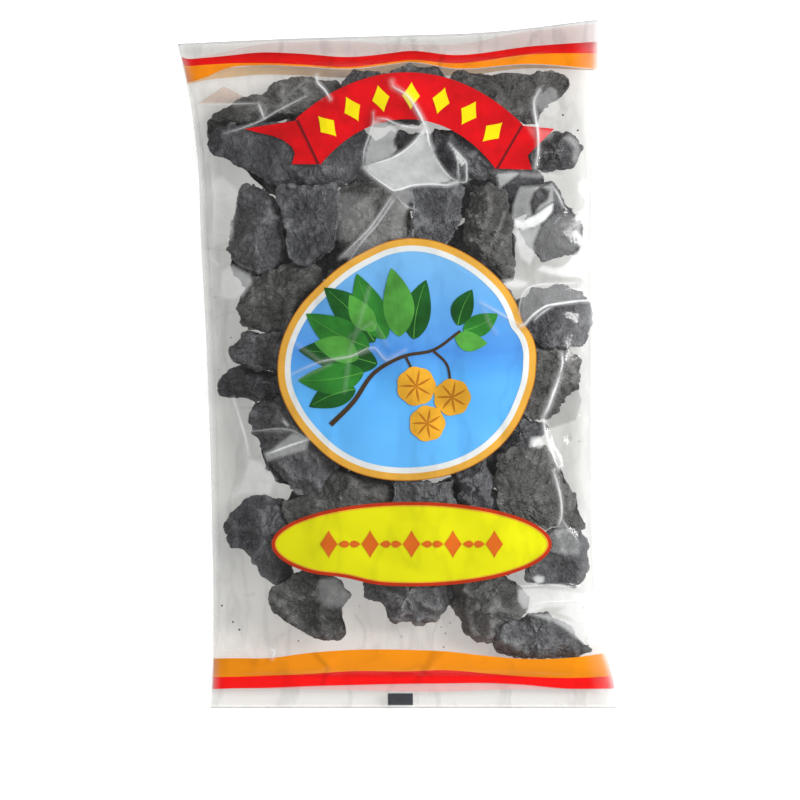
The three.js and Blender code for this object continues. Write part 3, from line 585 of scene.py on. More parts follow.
def fromSeen(x, y):
    # the reverse, for a point on the front film
    placeX, placeY = x, y
    for i in range(2):
        scale = (eyeDistance + camera["focus"] - frontHeightAt(placeX, placeY)) / eyeDistance
        placeX = camera["x"] + (x - camera["x"]) * scale
        placeY = camera["y"] + (y - camera["y"]) * scale
    return placeX, placeY


filmTable = {}


def filmTopAt(x, y):
    # the height of the finished front film, read from its own grid
    u, v = sharesAt(x, y)
    columns, rows = film["columns"], film["rows"]
    i = np.interp(u, filmTable["share"], np.arange(columns + 1))
    j = np.clip(v, 0, 1) * rows
    i0, j0 = np.minimum(i.astype(int), columns - 1), np.minimum(j.astype(int), rows - 1)
    a, b, z = i - i0, j - j0, filmTable["z"]
    low = z[j0, i0] * (1 - a) + z[j0, i0 + 1] * a
    high = z[j0 + 1, i0] * (1 - a) + z[j0 + 1, i0 + 1] * a
    return low * (1 - b) + high * b


def addFilm():
    sheets = []
    for name, share in (("pouchFilm", 1), ("pouchFilmBack", 2)):
        sheet, u, v = addGrid(name, film["columns"] // share, film["rows"] // share)
        if share == 2:
            # the back is coarser, so its rim gets the front's places in between
            editWhole(sheet, (bpy.ops.mesh.region_to_loop, {}), (bpy.ops.mesh.subdivide, {"number_cuts": 1}))
            u, v = (readPoints(sheet) * mm).T[:2] + 0.5
        # the rows lie closer together at the folded sides
        u = 0.5 - 0.5 * np.cos(np.pi * u) * film["bunching"] - (1 - film["bunching"]) * (0.5 - u)
        left = curveThrough(film["leftV"], film["leftX"], v)
        right = curveThrough(film["rightV"], film["rightX"], v)
        x = left + (right - left) * u
        y = film["bottomY"] + v * lengthAt(x)
        edge = np.minimum(np.minimum(u, 1 - u), np.minimum(v, 1 - v))
        closing = smoothStep(0, film["hem"], edge)
        fold = foldHeightAt(x, y)
        if name == "pouchFilm":
            z = frontHeightAt(x, y)
            loose = smoothStep(0, 0.3, fullnessAt(x, y)) * closing
            seenX, seenY = asSeen(x, y, z)
            rough = creaseHeightAt(seenX, seenY) + wrinkleHeightAt(seenX, seenY)
            z = z + (rough - wrinkle["sunk"]) * (0.3 + 0.7 * loose)
        else:
            z = backHeightAt(x, y)
            loose = smoothStep(0.55, 0.1, fullnessAt(x, y))
            z = z + wrinkle["backShare"] * wrinkleHeightAt(x, y) * loose
        z = fold + (z - fold) * closing
        if name == "pouchFilm":
            filmTable["share"] = u[: film["columns"] + 1]
            filmTable["z"] = z.reshape(film["rows"] + 1, film["columns"] + 1)
        writePoints(sheet, np.stack([x, y, np.maximum(z, 0.02)], axis=1))
        sheets.append(sheet)
    turnOver(sheets[1])
    whole = joinPieces("pouchFilm", sheets)
    closeGaps(whole, 0.03)
    bpy.ops.object.shade_smooth()
    points = readPoints(whole)
    x, y, z = points.T
    front = (z > foldHeightAt(x, y) - 0.1).astype(float)
    x, y = asSeen(x, y, z)
    # painted highlight and reflection on the front film, kept in a mesh attribute
    writeMask(whole, "paintedGlare", paintedGlareAt(x, y) * front)
    # painted shade: dim lines and broad shades on the front, and the whole back sheet dimmed by the back dim
    # value
    writeMask(whole, "dim", np.where(front > 0, dimnessAt(x, y), film["backDim"]))
    return whole


# Materials
def newMaterial(name):
    material = bpy.data.materials.new(name)
    material.use_nodes = True
    tree = material.node_tree
    return material, tree, tree.nodes["Principled BSDF"], tree.nodes["Material Output"]


def addNode(tree, kind, **values):
    made = tree.nodes.new(kind)
    for key, value in values.items():
        setattr(made, key, value)
    return made


def addRamp(tree, source, stops):
    ramp = addNode(tree, "ShaderNodeValToRGB")
    elements = ramp.color_ramp.elements
    while len(elements) < len(stops):
        elements.new(0.5)
    for element, (place, colour) in zip(elements, stops):
        element.position = place
        element.color = (*colour, 1)
    tree.links.new(source, ramp.inputs["Fac"])
    return ramp.outputs["Color"]


def addNoise(tree, vector, scale, detail=4.0, roughness=0.55, kind="ShaderNodeTexNoise"):
    made = addNode(tree, kind)
    made.inputs["Scale"].default_value = scale
    if "Detail" in made.inputs:
        made.inputs["Detail"].default_value = detail
        made.inputs["Roughness"].default_value = roughness
    tree.links.new(vector, made.inputs["Vector"])
    return made


def addMath(tree, operation, first, second=None, clamp=False):
    made = addNode(tree, "ShaderNodeMath", operation=operation, use_clamp=clamp)
    for socket, value in zip(made.inputs, (first, second)):
        if value is None:
            continue
        if isinstance(value, (int, float)):
            socket.default_value = value
        else:
            tree.links.new(value, socket)
    return made.outputs[0]


def addSum(tree, *parts):
    # adds up values, each times its weight
    total = None
    for value, weight in parts:
        scaled = value if weight == 1 else addMath(tree, "MULTIPLY", value, weight)
        total = scaled if total is None else addMath(tree, "ADD", total, scaled)
    return total


def addBump(tree, height, strength, distance):
    made = addNode(tree, "ShaderNodeBump")
    made.inputs["Strength"].default_value = strength
    made.inputs["Distance"].default_value = distance
    tree.links.new(height, made.inputs["Height"])
    return made.outputs["Normal"]


clearFilm = {
    "haze": 0.003,
    "hazeAndGlareColour": (0.88, 0.89, 0.89),
    "shine": 0.3,
    "mostShine": 0.2,
    "wrinkleScale": 320,
    "tint": (0.985, 0.983, 0.968),
}


def makeFilmMaterial(name, haze):
    # clear film: what is behind it, a thin white haze with patches of painted reflection, painted shade over
    # what shows through, and a sharp shine on top
    material, tree, hazeAndGlareShader, output = newMaterial(name)
    place = addNode(tree, "ShaderNodeTexCoord").outputs["Object"]
    fine = addNoise(tree, place, clearFilm["wrinkleScale"], 3)
    wide = addNoise(tree, place, 60, 2)
    both = addSum(tree, (fine.outputs["Fac"], 1), (wide.outputs["Fac"], 2.0))
    normal = addBump(tree, both, 0.1, 0.0005)
    # painted reflection: white patches and fold lines from the mesh attribute, added to the film's even thin
    # haze
    paintedGlare = addNode(tree, "ShaderNodeAttribute", attribute_name="paintedGlare")
    streaky = addNoise(tree, place, 170, 4, 0.6)
    uneven = addMath(tree, "MULTIPLY_ADD", streaky.outputs["Fac"], 0.9)
    uneven.node.inputs[2].default_value = 0.5
    patches = addMath(tree, "MULTIPLY", paintedGlare.outputs["Fac"], uneven)
    cover = addMath(tree, "ADD", patches, haze, clamp=True)
    hazeAndGlareShader.inputs["Base Color"].default_value = (*clearFilm["hazeAndGlareColour"], 1)
    hazeAndGlareShader.inputs["Roughness"].default_value = 0.6
    hazeAndGlareShader.inputs["Specular IOR Level"].default_value = 0.0
    clear = addNode(tree, "ShaderNodeBsdfTransparent")
    # painted shade: the dim attribute and thin noise lines like creases darken what is seen through the film
    dim = addNode(tree, "ShaderNodeAttribute", attribute_name="dim")
    drawn = addNode(tree, "ShaderNodeMapping")
    drawn.inputs["Rotation"].default_value = (0, 0, 0.3)
    drawn.inputs["Scale"].default_value = (1, 0.35, 1)
    tree.links.new(place, drawn.inputs["Vector"])
    creaseShadeNoise = addNoise(tree, drawn.outputs["Vector"], 42, 4, 0.55)
    away = addMath(tree, "ABSOLUTE", addMath(tree, "SUBTRACT", creaseShadeNoise.outputs["Fac"], 0.5))
    lines = addMath(tree, "SUBTRACT", 0.08, addMath(tree, "MULTIPLY", away, 2.2), clamp=True)
    dimmer = addMath(tree, "ADD", dim.outputs["Fac"], addMath(tree, "SUBTRACT", lines, 0.01), clamp=True)
    tint = addRamp(tree, dimmer, [(0, clearFilm["tint"]), (1, (0.25, 0.25, 0.25))])
    tree.links.new(tint, clear.inputs["Color"])
    body = addNode(tree, "ShaderNodeMixShader")
    tree.links.new(cover, body.inputs[0])
    tree.links.new(clear.outputs[0], body.inputs[1])
    tree.links.new(hazeAndGlareShader.outputs[0], body.inputs[2])
    shine = addNode(tree, "ShaderNodeBsdfPrincipled")
    shine.inputs["Base Color"].default_value = (1, 1, 1, 1)
    shine.inputs["Metallic"].default_value = 1.0
    shine.inputs["Roughness"].default_value = 0.08
    tree.links.new(normal, shine.inputs["Normal"])
    fresnel = addNode(tree, "ShaderNodeFresnel")
    fresnel.inputs["IOR"].default_value = 1.5
    tree.links.new(normal, fresnel.inputs["Normal"])
    seen = addMath(tree, "SUBTRACT", 1.0, addNode(tree, "ShaderNodeLightPath").outputs["Is Shadow Ray"])
    amount = addMath(tree, "MULTIPLY", fresnel.outputs[0], clearFilm["shine"], clamp=True)
    amount = addMath(tree, "MINIMUM", amount, clearFilm["mostShine"])
    amount = addMath(tree, "MULTIPLY", amount, seen)
    whole = addNode(tree, "ShaderNodeMixShader")
    tree.links.new(amount, whole.inputs[0])
    tree.links.new(body.outputs[0], whole.inputs[1])
    tree.links.new(shine.outputs[0], whole.inputs[2])
    tree.links.new(whole.outputs[0], output.inputs["Surface"])
    return material


# painted highlight strips: thin white strips just above the front film along the whiter folds
crease = {"width": 0.75, "lift": 0.1, "weakest": 0.3, "colour": (0.93, 0.94, 0.95)}


def makeFoldHighlightMaterial():
    # painted highlight along a sharp fold, on a thin strip just above the film
    material, tree, skin, output = newMaterial("paintedFoldHighlight")
    place = addNode(tree, "ShaderNodeTexCoord").outputs["Object"]
    streaky = addNoise(tree, place, 260, 3)
    fading = addMath(tree, "MULTIPLY_ADD", streaky.outputs["Fac"], 0.8)
    fading.node.inputs[2].default_value = 0.5
    strength = addNode(tree, "ShaderNodeAttribute", attribute_name="paintedGlare")
    alpha = addMath(tree, "MULTIPLY", strength.outputs["Fac"], fading, clamp=True)
    tree.links.new(alpha, skin.inputs["Alpha"])
    skin.inputs["Base Color"].default_value = (*crease["colour"], 1)
    skin.inputs["Roughness"].default_value = 0.4
    skin.inputs["Specular IOR Level"].default_value = 0.3
    return material


def addFoldHighlights():
    parts = []
    for height, width, white, line in folds:
        if white < crease["weakest"]:
            continue
        part, u, v = addGrid("foldHighlightPart", 2, 12 * len(line))
        taper = np.sin(np.pi * np.clip(v, 0.02, 0.98)) ** 0.4
        shape = lineShape(line, 1, 1)
        middleX, middleY = shape(np.full_like(u, 0.5), v)
        sideX, sideY = shape(u, v)
        half = crease["width"] * (0.6 + 0.4 * width) * taper
        x = middleX + (sideX - middleX) * half
        y = middleY + (sideY - middleY) * half
        writePoints(part, np.stack([x, y, np.zeros(len(x))], axis=1))
        writeMask(part, "paintedGlare", 0.9 * white * taper * (1 - 0.55 * np.abs(2 * u - 1)))
        parts.append(part)
    whole = joinPieces("paintedFoldHighlights", parts)
    printOn(whole, -crease["lift"], makeFoldHighlightMaterial())
    print("creases:", len(parts), "lines")


filmMaterial = makeFilmMaterial("clearFilm", clearFilm["haze"])
pouchFilm = addFilm()
finishPiece(pouchFilm, filmMaterial, ["pouch_film"])
print("film:", len(pouchFilm.data.polygons), "faces")

# The print lies just under the front film, on its inner face
print("print starts")
inset = {"print": 0.4, "bands": 0.45}
inkDepth = {"bands": 0.18, "shapes": 0.32, "details": 0.17, "pictureBelow": 0.12}
clearOf = 60  # well above or below the pouch


def keepInside(x, y):
    # holds a print within the film's outline
    v = (y - film["bottomY"]) / lengthAt(x)
    left = curveThrough(film["leftV"], film["leftX"], v) + inset["print"]
    right = curveThrough(film["rightV"], film["rightX"], v) - inset["print"]
    return np.clip(x, left, right), y


def layOnFilm(piece, depth, front=True):
    # drops a flat shape onto the front or back film, then moves it inwards by the depth
    points = readPoints(piece)
    if front:
        points[:, 0], points[:, 1] = keepInside(*fromSeen(points[:, 0], points[:, 1]))
    points[:, 2] = clearOf if front else -clearOf
    writePoints(piece, points)
    dropOnto(piece, pouchFilm, front)
    points = readPoints(piece)
    points[:, 2] += -depth if front else depth
    writePoints(piece, points)
    bpy.ops.object.shade_smooth()


def printOn(piece, depth, ink, front=True):
    layOnFilm(piece, depth, front)
    finishPiece(piece, ink)


def addGroup(name, inputs, outputs):
    # an effect that several materials use: names and kinds of its sockets
    tree = bpy.data.node_groups.new(name, "ShaderNodeTree")
    for way, sockets in (("INPUT", inputs), ("OUTPUT", outputs)):
        for socket, kind in sockets:
            tree.interface.new_socket(name=socket, in_out=way, socket_type="NodeSocket" + kind)
    return tree, addNode(tree, "NodeGroupInput").outputs, addNode(tree, "NodeGroupOutput").inputs


def placeGroup(tree, group, **values):
    placed = addNode(tree, "ShaderNodeGroup", node_tree=group)
    for socket, value in values.items():
        if isinstance(value, bpy.types.NodeSocket):
            tree.links.new(value, placed.inputs[socket])
        else:
            placed.inputs[socket].default_value = value
    return placed.outputs


def makeMottleGroup():
    # ink that lies a little unevenly on the film
    inputs = [("Place", "Vector"), ("Ink", "Color"), ("Shade", "Float")]
    tree, given, made = addGroup("inkMottle", inputs, [("Color", "Color")])
    patches = addNoise(tree, given["Place"], 90, 5)
    spread = addNode(tree, "ShaderNodeMapRange", interpolation_type="SMOOTHSTEP")
    tree.links.new(patches.outputs["Fac"], spread.inputs["Value"])
    spread.inputs["From Min"].default_value = 0.3
    spread.inputs["From Max"].default_value = 0.7
    tree.links.new(given["Shade"], spread.inputs["To Min"])
    scaled = addNode(tree, "ShaderNodeVectorMath", operation="SCALE")
    tree.links.new(given["Ink"], scaled.inputs[0])
    tree.links.new(spread.outputs["Result"], scaled.inputs["Scale"])
    tree.links.new(scaled.outputs[0], made["Color"])
    return tree


inkMottle = makeMottleGroup()


def makeInk(name, colour, dark=0.86, roughness=0.32, cover=1.0):
    # printed ink
    material, tree, ink, output = newMaterial(name)
    place = addNode(tree, "ShaderNodeTexCoord").outputs["Object"]
    mottled = placeGroup(tree, inkMottle, Place=place, Ink=(*colour, 1), Shade=dark)
    tree.links.new(mottled["Color"], ink.inputs["Base Color"])
    ink.inputs["Roughness"].default_value = roughness
    ink.inputs["Specular IOR Level"].default_value = 0.05
    if cover < 1:
        ink.inputs["Alpha"].default_value = cover
    return material


inks = {
    "red": makeInk("redInk", (0.97, 0.003, 0.003), dark=0.97),
    "redTop": makeInk("redInkTop", (0.72, 0.001, 0.001), dark=0.9),
    "ribbon": makeInk("ribbonInk", (0.74, 0.001, 0.006), dark=0.68),
    "orange": makeInk("orangeInk", (1.0, 0.33, 0.0), dark=0.98),
    "orangeTop": makeInk("orangeInkTop", (0.9, 0.27, 0.0), dark=0.85),
    "fold": makeInk("foldInk", (0.16, 0.006, 0.01)),
    "yellow": makeInk("yellowInk", (0.74, 0.73, 0.0), dark=0.96),
    "lozenge": makeInk("lozengeInk", (0.9, 0.74, 0.0), dark=0.9),
    "brownRed": makeInk("brownRedInk", (0.5, 0.03, 0.003)),
    "motif": makeInk("motifInk", (0.72, 0.15, 0.01)),
    "gold": makeInk("goldInk", (0.75, 0.4, 0.055)),
    "white": makeInk("whiteInk", (0.76, 0.79, 0.8), dark=0.88),
    "leaf": makeInk("leafInk", (0.012, 0.12, 0.018), dark=0.5),
    "leafMiddle": makeInk("leafMiddleInk", (0.03, 0.24, 0.03), dark=0.55),
    "leafLight": makeInk("leafLightInk", (0.1, 0.4, 0.06), dark=0.6),
    "fruit": makeInk("fruitInk", (0.86, 0.44, 0.03), dark=0.7),
    "fruitShade": makeInk("fruitShadeInk", (0.5, 0.18, 0.01), dark=0.8),
    "stem": makeInk("stemInk", (0.06, 0.035, 0.015)),
    "pink": makeInk("paleRedInk", (0.86, 0.4, 0.38), cover=0.25),
    "rose": makeInk("roseInk", (0.95, 0.45, 0.45), cover=0.6),
    "tan": makeInk("paleOrangeInk", (0.68, 0.37, 0.06), cover=0.6),
    "peach": makeInk("peachInk", (0.62, 0.36, 0.22), cover=0.42),
}

# The bands' edges, as the print runs over the bulging film: place across, and the height of each edge
topBands = {
    "x": [-79, -76, -70, -62, -50, -35, -18, 0, 3, 21, 49, 73],
    "redTop": [111.5, 110.6, 110.9, 111.6, 112.8, 112.4, 111.2, 112.9, 113.3, 111.9, 115.1, 116.8],
    "orangeTop": [108.5, 108, 108.3, 108.8, 109, 108.5, 107.6, 109.6, 110, 108.9, 112.2, 112.6],
    "orangeLow": [102, 102, 103.6, 107, 108.2, 107.8, 107, 108.9, 109.3, 107.1, 108.7, 106.8],
    "paleTop": [111.6, 110.8, 111.8, 113.4, 116, 117, 117.2, 116, 116, 116, 121, 123.6],
    "backTop": [108.8, 108.6, 108.2, 107.6, 108.4, 108, 107.1, 109, 109.4, 107.3, 108.8, 107],
    "backLow": [101, 101.4, 103, 104, 105.2, 105, 104.2, 105.4, 105.6, 105, 107.6, 106.5],
}
bottomBands = {
    "x": [-67.5, -59, -46, -32, -17, 5, 16, 34, 45, 62, 79],
    "orangeTop": [-106.6, -106.5, -106.4, -104.6, -103.5, -103.5, -103.9, -105.8, -106.7, -106.4, -104.1],
    "redTop": [-113.3, -113.2, -112.8, -112.2, -111.2, -111.2, -110.8, -112.1, -113, -113.6, -113],
    "redLow": [-117.7, -117.4, -117.2, -116.6, -116.2, -115.7, -115.6, -115.5, -116, -117.5, -117.4],
    "backTop": [-117.9, -117.6, -117.3, -116.7, -116.3, -115.8, -115.7, -115.6, -116.1, -117.6, -117.5],
    "backLow": [-118, -117.8, -117.8, -118, -118.4, -118.9, -119, -118.3, -118, -118, -118],
}


def addBand(name, bands, upper, lower, ink, front=True):
    def placeOf(u, v):
        x = bands["x"][0] + (bands["x"][-1] - bands["x"][0]) * u
        low, high = (curveThrough(bands["x"], bands[edge], x) for edge in (lower, upper))
        y = low + (high - low) * v
        # each row ends just inside the folded side
        along = (y - film["bottomY"]) / lengthAt(x)
        left = curveThrough(film["leftV"], film["leftX"], along) + inset["bands"]
        right = curveThrough(film["rightV"], film["rightX"], along) - inset["bands"]
        x = left + (right - left) * u
        low, high = (curveThrough(bands["x"], bands[edge], x) for edge in (lower, upper))
        return x, low * (1 - v) + high * v

    printOn(addShape(name, 170, 8, placeOf), inkDepth["bands"], ink, front)


addBand("redBandTop", topBands, "redTop", "orangeTop", inks["redTop"])
addBand("orangeBandTop", topBands, "orangeTop", "orangeLow", inks["orangeTop"])
addBand("orangeBandBottom", bottomBands, "orangeTop", "redTop", inks["orange"])
addBand("redBandBottom", bottomBands, "redTop", "redLow", inks["red"])
addBand("backBandTop", topBands, "backTop", "backLow", inks["tan"], front=False)
addBand("backBandPale", topBands, "paleTop", "redTop", inks["pink"], front=False)
addBand("backBandBottom", bottomBands, "backTop", "backLow", inks["rose"], front=False)


flap = [(-50.3, 94.7), (-63, 101), (-72.4, 94.5)]


def addFlap():
    # a turned corner of the back print, top left
    (ax, ay), (bx, by), (cx, cy) = flap

    def placeOf(u, v):
        return ax * (1 - v) + (bx * (1 - u) + cx * u) * v, ay * (1 - v) + (by * (1 - u) + cy * u) * v

    printOn(addShape("backFlap", 12, 12, placeOf), inkDepth["bands"], inks["peach"], front=False)


addFlap()
print("bands printed")

ribbon = {
    "x": 3.6,
    "y": 54.1,
    "inner": 34.6,
    "outer": 51.6,
    "start": [150.2, 139.2],
    "end": [27, 37.8],
    "leftFold": [(-28.4, 72.4), (-36, 88.3)],
    "leftEnd": [
        (0, -38.1, 72.4), (0.22, -36.9, 76.3), (0.4, -38.1, 78.7), (0.55, -41.2, 81.1),
        (0.7, -44.9, 82.6), (0.85, -49.6, 83.7), (1, -55.4, 85.2),
    ],
    "rightFold": [(36.3, 70.8), (45.3, 86.4)],
    "rightEnd": [(0, 49, 70.4), (0.4, 47.3, 75.6), (1, 57, 85.2)],
    "flare": 1.6,
    "foldWidth": 0.9,
    "tailBelow": 0.12,
    "lozenges": 7,
    "lozengeFrom": 132,
    "lozengeTo": 44,
    "lozengeLength": 10,
    "lozengeWidth": 6.4,
}


def ribbonShape(u, v):
    # the two ends follow the fold lines of the tails
    start = np.radians(ribbon["start"][0] + (ribbon["start"][1] - ribbon["start"][0]) * v)
    end = np.radians(ribbon["end"][0] + (ribbon["end"][1] - ribbon["end"][0]) * v)
    angle = start + (end - start) * u
    radius = ribbon["inner"] + (ribbon["outer"] - ribbon["inner"]) * v
    radius = radius + ribbon["flare"] * np.abs(2 * u - 1) ** 4
    return ribbon["x"] + radius * np.cos(angle), ribbon["y"] + radius * np.sin(angle)


def addRibbon():
    printOn(addShape("ribbonMiddle", 90, 16, ribbonShape), inkDepth["shapes"], inks["ribbon"])
    for side in ("left", "right"):
        (fx0, fy0), (fx1, fy1) = ribbon[side + "Fold"]
        shares, ex, ey = zip(*ribbon[side + "End"])

        def tailShape(u, v):
            foldX, foldY = fx0 + (fx1 - fx0) * v, fy0 + (fy1 - fy0) * v
            endX, endY = np.interp(v, shares, ex), np.interp(v, shares, ey)
            return foldX + (endX - foldX) * u, foldY + (endY - foldY) * u

        def foldShape(u, v):
            return fx0 + (fx1 - fx0) * v + (u - 0.5) * ribbon["foldWidth"], fy0 + (fy1 - fy0) * v

        tail = addShape("ribbonTail" + side.capitalize(), 24, 20, tailShape)
        if side == "left":
            turnOver(tail)
        printOn(tail, inkDepth["shapes"] + ribbon["tailBelow"], inks["ribbon"])
        fold = addShape("ribbonFold" + side.capitalize(), 2, 16, foldShape)
        printOn(fold, inkDepth["details"], inks["fold"])


def lozengeShape(x0, y0, length, width, turn):
    # a slim diamond with slightly hollow sides, along the given direction
    def placeOf(u, v):
        along = (v - 0.5) * length
        half = width / 2 * (1 - np.abs(2 * v - 1)) ** 1.15
        across = (u - 0.5) * 2 * half
        c, s = math.cos(math.radians(turn)), math.sin(math.radians(turn))
        return x0 + across * s + along * c, y0 - across * c + along * s

    return placeOf


def addLozenges():
    pieces = []
    middle = (ribbon["inner"] + ribbon["outer"]) / 2
    start, end = ribbon["lozengeFrom"], ribbon["lozengeTo"]
    for i in range(ribbon["lozenges"]):
        angle = start + (end - start) * i / (ribbon["lozenges"] - 1)
        x0 = ribbon["x"] + middle * math.cos(math.radians(angle))
        y0 = ribbon["y"] + middle * math.sin(math.radians(angle))
        shape = lozengeShape(x0, y0, ribbon["lozengeLength"], ribbon["lozengeWidth"], angle)
        pieces.append(addShape("lozenge" + str(i), 8, 12, shape))
    printOn(joinPieces("ribbonLozenges", pieces), inkDepth["details"], inks["lozenge"])


addRibbon()
addLozenges()
print("ribbon printed")

# The medallion's outer edge, as its distance from the middle every 15 degrees from the right
medallion = {
    "x": 4.0,
    "y": 1.4,
    "goldWidth": 2.4,
    "whiteWidth": 2.1,
}
medallionEdge = [
    (50.2, 0), (50, 6), (48.3, 11), (45.7, 14.6), (43.8, 20), (40.3, 26.5), (35, 32.4), (28.5, 37.6),
    (20, 42.2), (11, 44.9), (3.5, 45.3), (-3, 44.2), (-11, 40.8), (-20, 35.4), (-28, 28.4), (-35, 20.8),
    (-39.6, 13), (-42.3, 5), (-43, -1.5), (-42.4, -8), (-40, -14.8), (-36, -21.6), (-30.5, -28.2),
    (-24, -34), (-15, -38.9), (-6, -41.3), (3, -42), (12, -41.3), (21, -39.2), (29.5, -35.4),
    (37, -29.8), (43, -22.5), (47.3, -13.5), (49.6, -6),
]


def medallionRadius(angle):
    x, y = np.array(medallionEdge).T
    dx, dy = x - medallion["x"], y - medallion["y"]
    at = np.degrees(np.arctan2(dy, dx)) % 360
    order = np.argsort(at)
    at, far = at[order], np.hypot(dx, dy)[order]
    at = np.concatenate([at[-4:] - 360, at, at[:4] + 360])
    far = np.concatenate([far[-4:], far, far[:4]])
    return curveThrough(at, far, np.degrees(angle) % 360)


def ringShape(insideOf, outsideOf):
    # a ring round the medallion's middle, between two distances from its edge
    def placeOf(u, v):
        angle = -2 * np.pi * u
        edge = medallionRadius(angle)
        inner, outer = insideOf(edge), outsideOf(edge)
        radius = inner + (outer - inner) * v
        return medallion["x"] + radius * np.cos(angle), medallion["y"] + radius * np.sin(angle)

    return placeOf


def makePictureMaterial():
    # blue ground, pale above and deeper below, with soft lighter streaks
    material, tree, ink, output = newMaterial("pictureInk")
    place = addNode(tree, "ShaderNodeTexCoord").outputs["Object"]
    split = addNode(tree, "ShaderNodeSeparateXYZ")
    tree.links.new(place, split.inputs[0])
    height = addMath(tree, "MULTIPLY_ADD", split.outputs["Y"], 1 / 0.09)
    height.node.inputs[2].default_value = 0.5
    sky = [
        (0.0, (0.12, 0.47, 0.93)),
        (0.42, (0.08, 0.4, 0.88)),
        (0.55, (0.05, 0.24, 0.7)),
        (0.72, (0.1, 0.34, 0.74)),
        (1.0, (0.2, 0.48, 0.82)),
    ]
    colour = addRamp(tree, height, sky)
    stretch = addNode(tree, "ShaderNodeMapping")
    stretch.inputs["Scale"].default_value = (1, 3.2, 1)
    tree.links.new(place, stretch.inputs["Vector"])
    streaks = addNoise(tree, stretch.outputs["Vector"], 45, 3)
    mix = addNode(tree, "ShaderNodeMix", data_type="RGBA", blend_type="MIX")
    amount = addMath(tree, "MULTIPLY", streaks.outputs["Fac"], 0.3)
    tree.links.new(amount, mix.inputs[0])
    tree.links.new(colour, mix.inputs[6])
    mix.inputs[7].default_value = (0.22, 0.55, 0.9, 1)
    tree.links.new(mix.outputs[2], ink.inputs["Base Color"])
    ink.inputs["Roughness"].default_value = 0.32
    ink.inputs["Specular IOR Level"].default_value = 0.05
    return material


def addMedallion():
    gold, white = medallion["goldWidth"], medallion["whiteWidth"]
    rings = [
        ("medallionGold", 3, lambda e: e - gold, lambda e: e, inks["gold"]),
        ("medallionWhite", 3, lambda e: e - gold - white, lambda e: e - gold, inks["white"]),
        ("medallionPicture", 60, lambda e: e * 0, lambda e: e - gold - white, makePictureMaterial()),
        ("medallionEdge", 2, lambda e: e - 0.05, lambda e: e + 0.3, inks["fruitShade"]),
    ]
    for name, rows, insideOf, outsideOf, ink in rings:
        piece = addShape(name, 260, rows, ringShape(insideOf, outsideOf))
        closeGaps(piece)
        below = inkDepth["pictureBelow"] if name == "medallionPicture" else 0
        printOn(piece, inkDepth["shapes"] + below, ink)


# The sprig in the medallion: base, length, half width, direction in degrees, curl and which green
leaves = [
    (-7, 0, 29, 6.4, 170, 4, "leaf"),
    (-10, 6, 26, 6, 152, -4, "leafMiddle"),
    (-8, 8, 27, 6.2, 133, 5, "leaf"),
    (-4, 9, 26, 5.8, 114, -4, "leafMiddle"),
    (1, 10, 25, 5.6, 97, 4, "leafLight"),
    (6, 9, 22, 5.2, 78, -4, "leaf"),
    (-12, -3, 24, 5.6, 187, -4, "leafMiddle"),
    (-14, 2, 17, 4.6, 160, 4, "leafLight"),
    (-8, 12, 16, 4.2, 125, -3, "leafLight"),
    (-15, -9, 18, 4.8, 201, 4, "leaf"),
    (24, 12, 14, 4, 26, 3, "leafMiddle"),
    (22, 14, 14, 4, 68, -3, "leaf"),
    (21, 10, 12, 3.6, -12, 3, "leafLight"),
]
fruits = [(7, -8, 7.2), (20, -12, 6.8), (11, -21.5, 6.6)]
stem = [(-24, -22), (-16, -14), (-8, -3), (3, 3), (13, 5), (23, 12)]
stalks = [[(3, 3), (5, -1), (6, -4)], [(13, 5), (18, 0), (19.5, -7)]]


def leafShape(x0, y0, length, half, turn, curl):
    def placeOf(u, v):
        along = v * length
        width = half * np.sin(np.pi * v**0.8) ** 0.85
        across = (u - 0.5) * 2 * width + curl * v * (1 - v)
        c, s = math.cos(math.radians(turn)), math.sin(math.radians(turn))
        return x0 + across * s + along * c, y0 - across * c + along * s

    return placeOf


def fruitShape(x0, y0, radius):
    # a ribbed round fruit
    def placeOf(u, v):
        angle = -2 * np.pi * u
        r = radius * v * (0.93 + 0.07 * np.abs(np.cos(3.5 * angle)))
        return x0 + r * np.cos(angle), y0 + r * np.sin(angle)

    return placeOf


def lineShape(line, widthStart, widthEnd):
    knots = np.array(line, float)
    steps = np.concatenate([[0], np.cumsum(np.hypot(*np.diff(knots, axis=0).T))])
    steps = steps / steps[-1]

    def placeOf(u, v):
        x = curveThrough(steps, knots[:, 0], v)
        y = curveThrough(steps, knots[:, 1], v)
        dx = curveThrough(steps, knots[:, 0], v + 0.01) - curveThrough(steps, knots[:, 0], v - 0.01)
        dy = curveThrough(steps, knots[:, 1], v + 0.01) - curveThrough(steps, knots[:, 1], v - 0.01)
        size = np.maximum(np.hypot(dx, dy), 1e-6)
        half = (widthStart + (widthEnd - widthStart) * v) * (u - 0.5)
        return x + half * dy / size, y - half * dx / size

    return placeOf


# How far each layer of the sprig lies above the other details
sprigAbove = {
    "leaf": -0.08,
    "leafMiddle": -0.04,
    "leafLight": 0,
    "stem": 0.02,
    "fruit": 0.03,
    "ribs": 0.05,
    "grooves": 0.06,
}


def printSprig(name, parts, layer, ink, closed=False):
    whole = joinPieces(name, parts)
    if closed:
        closeGaps(whole)
    printOn(whole, inkDepth["details"] - sprigAbove[layer], inks[ink])


def ribShape(leaf):
    # the middle line of a leaf
    blade = leafShape(*leaf)
    ends = [blade(np.array(0.5), np.array(v)) for v in (0.02, 0.3, 0.6, 0.92)]
    return lineShape([(float(x), float(y)) for x, y in ends], 0.45, 0.15)


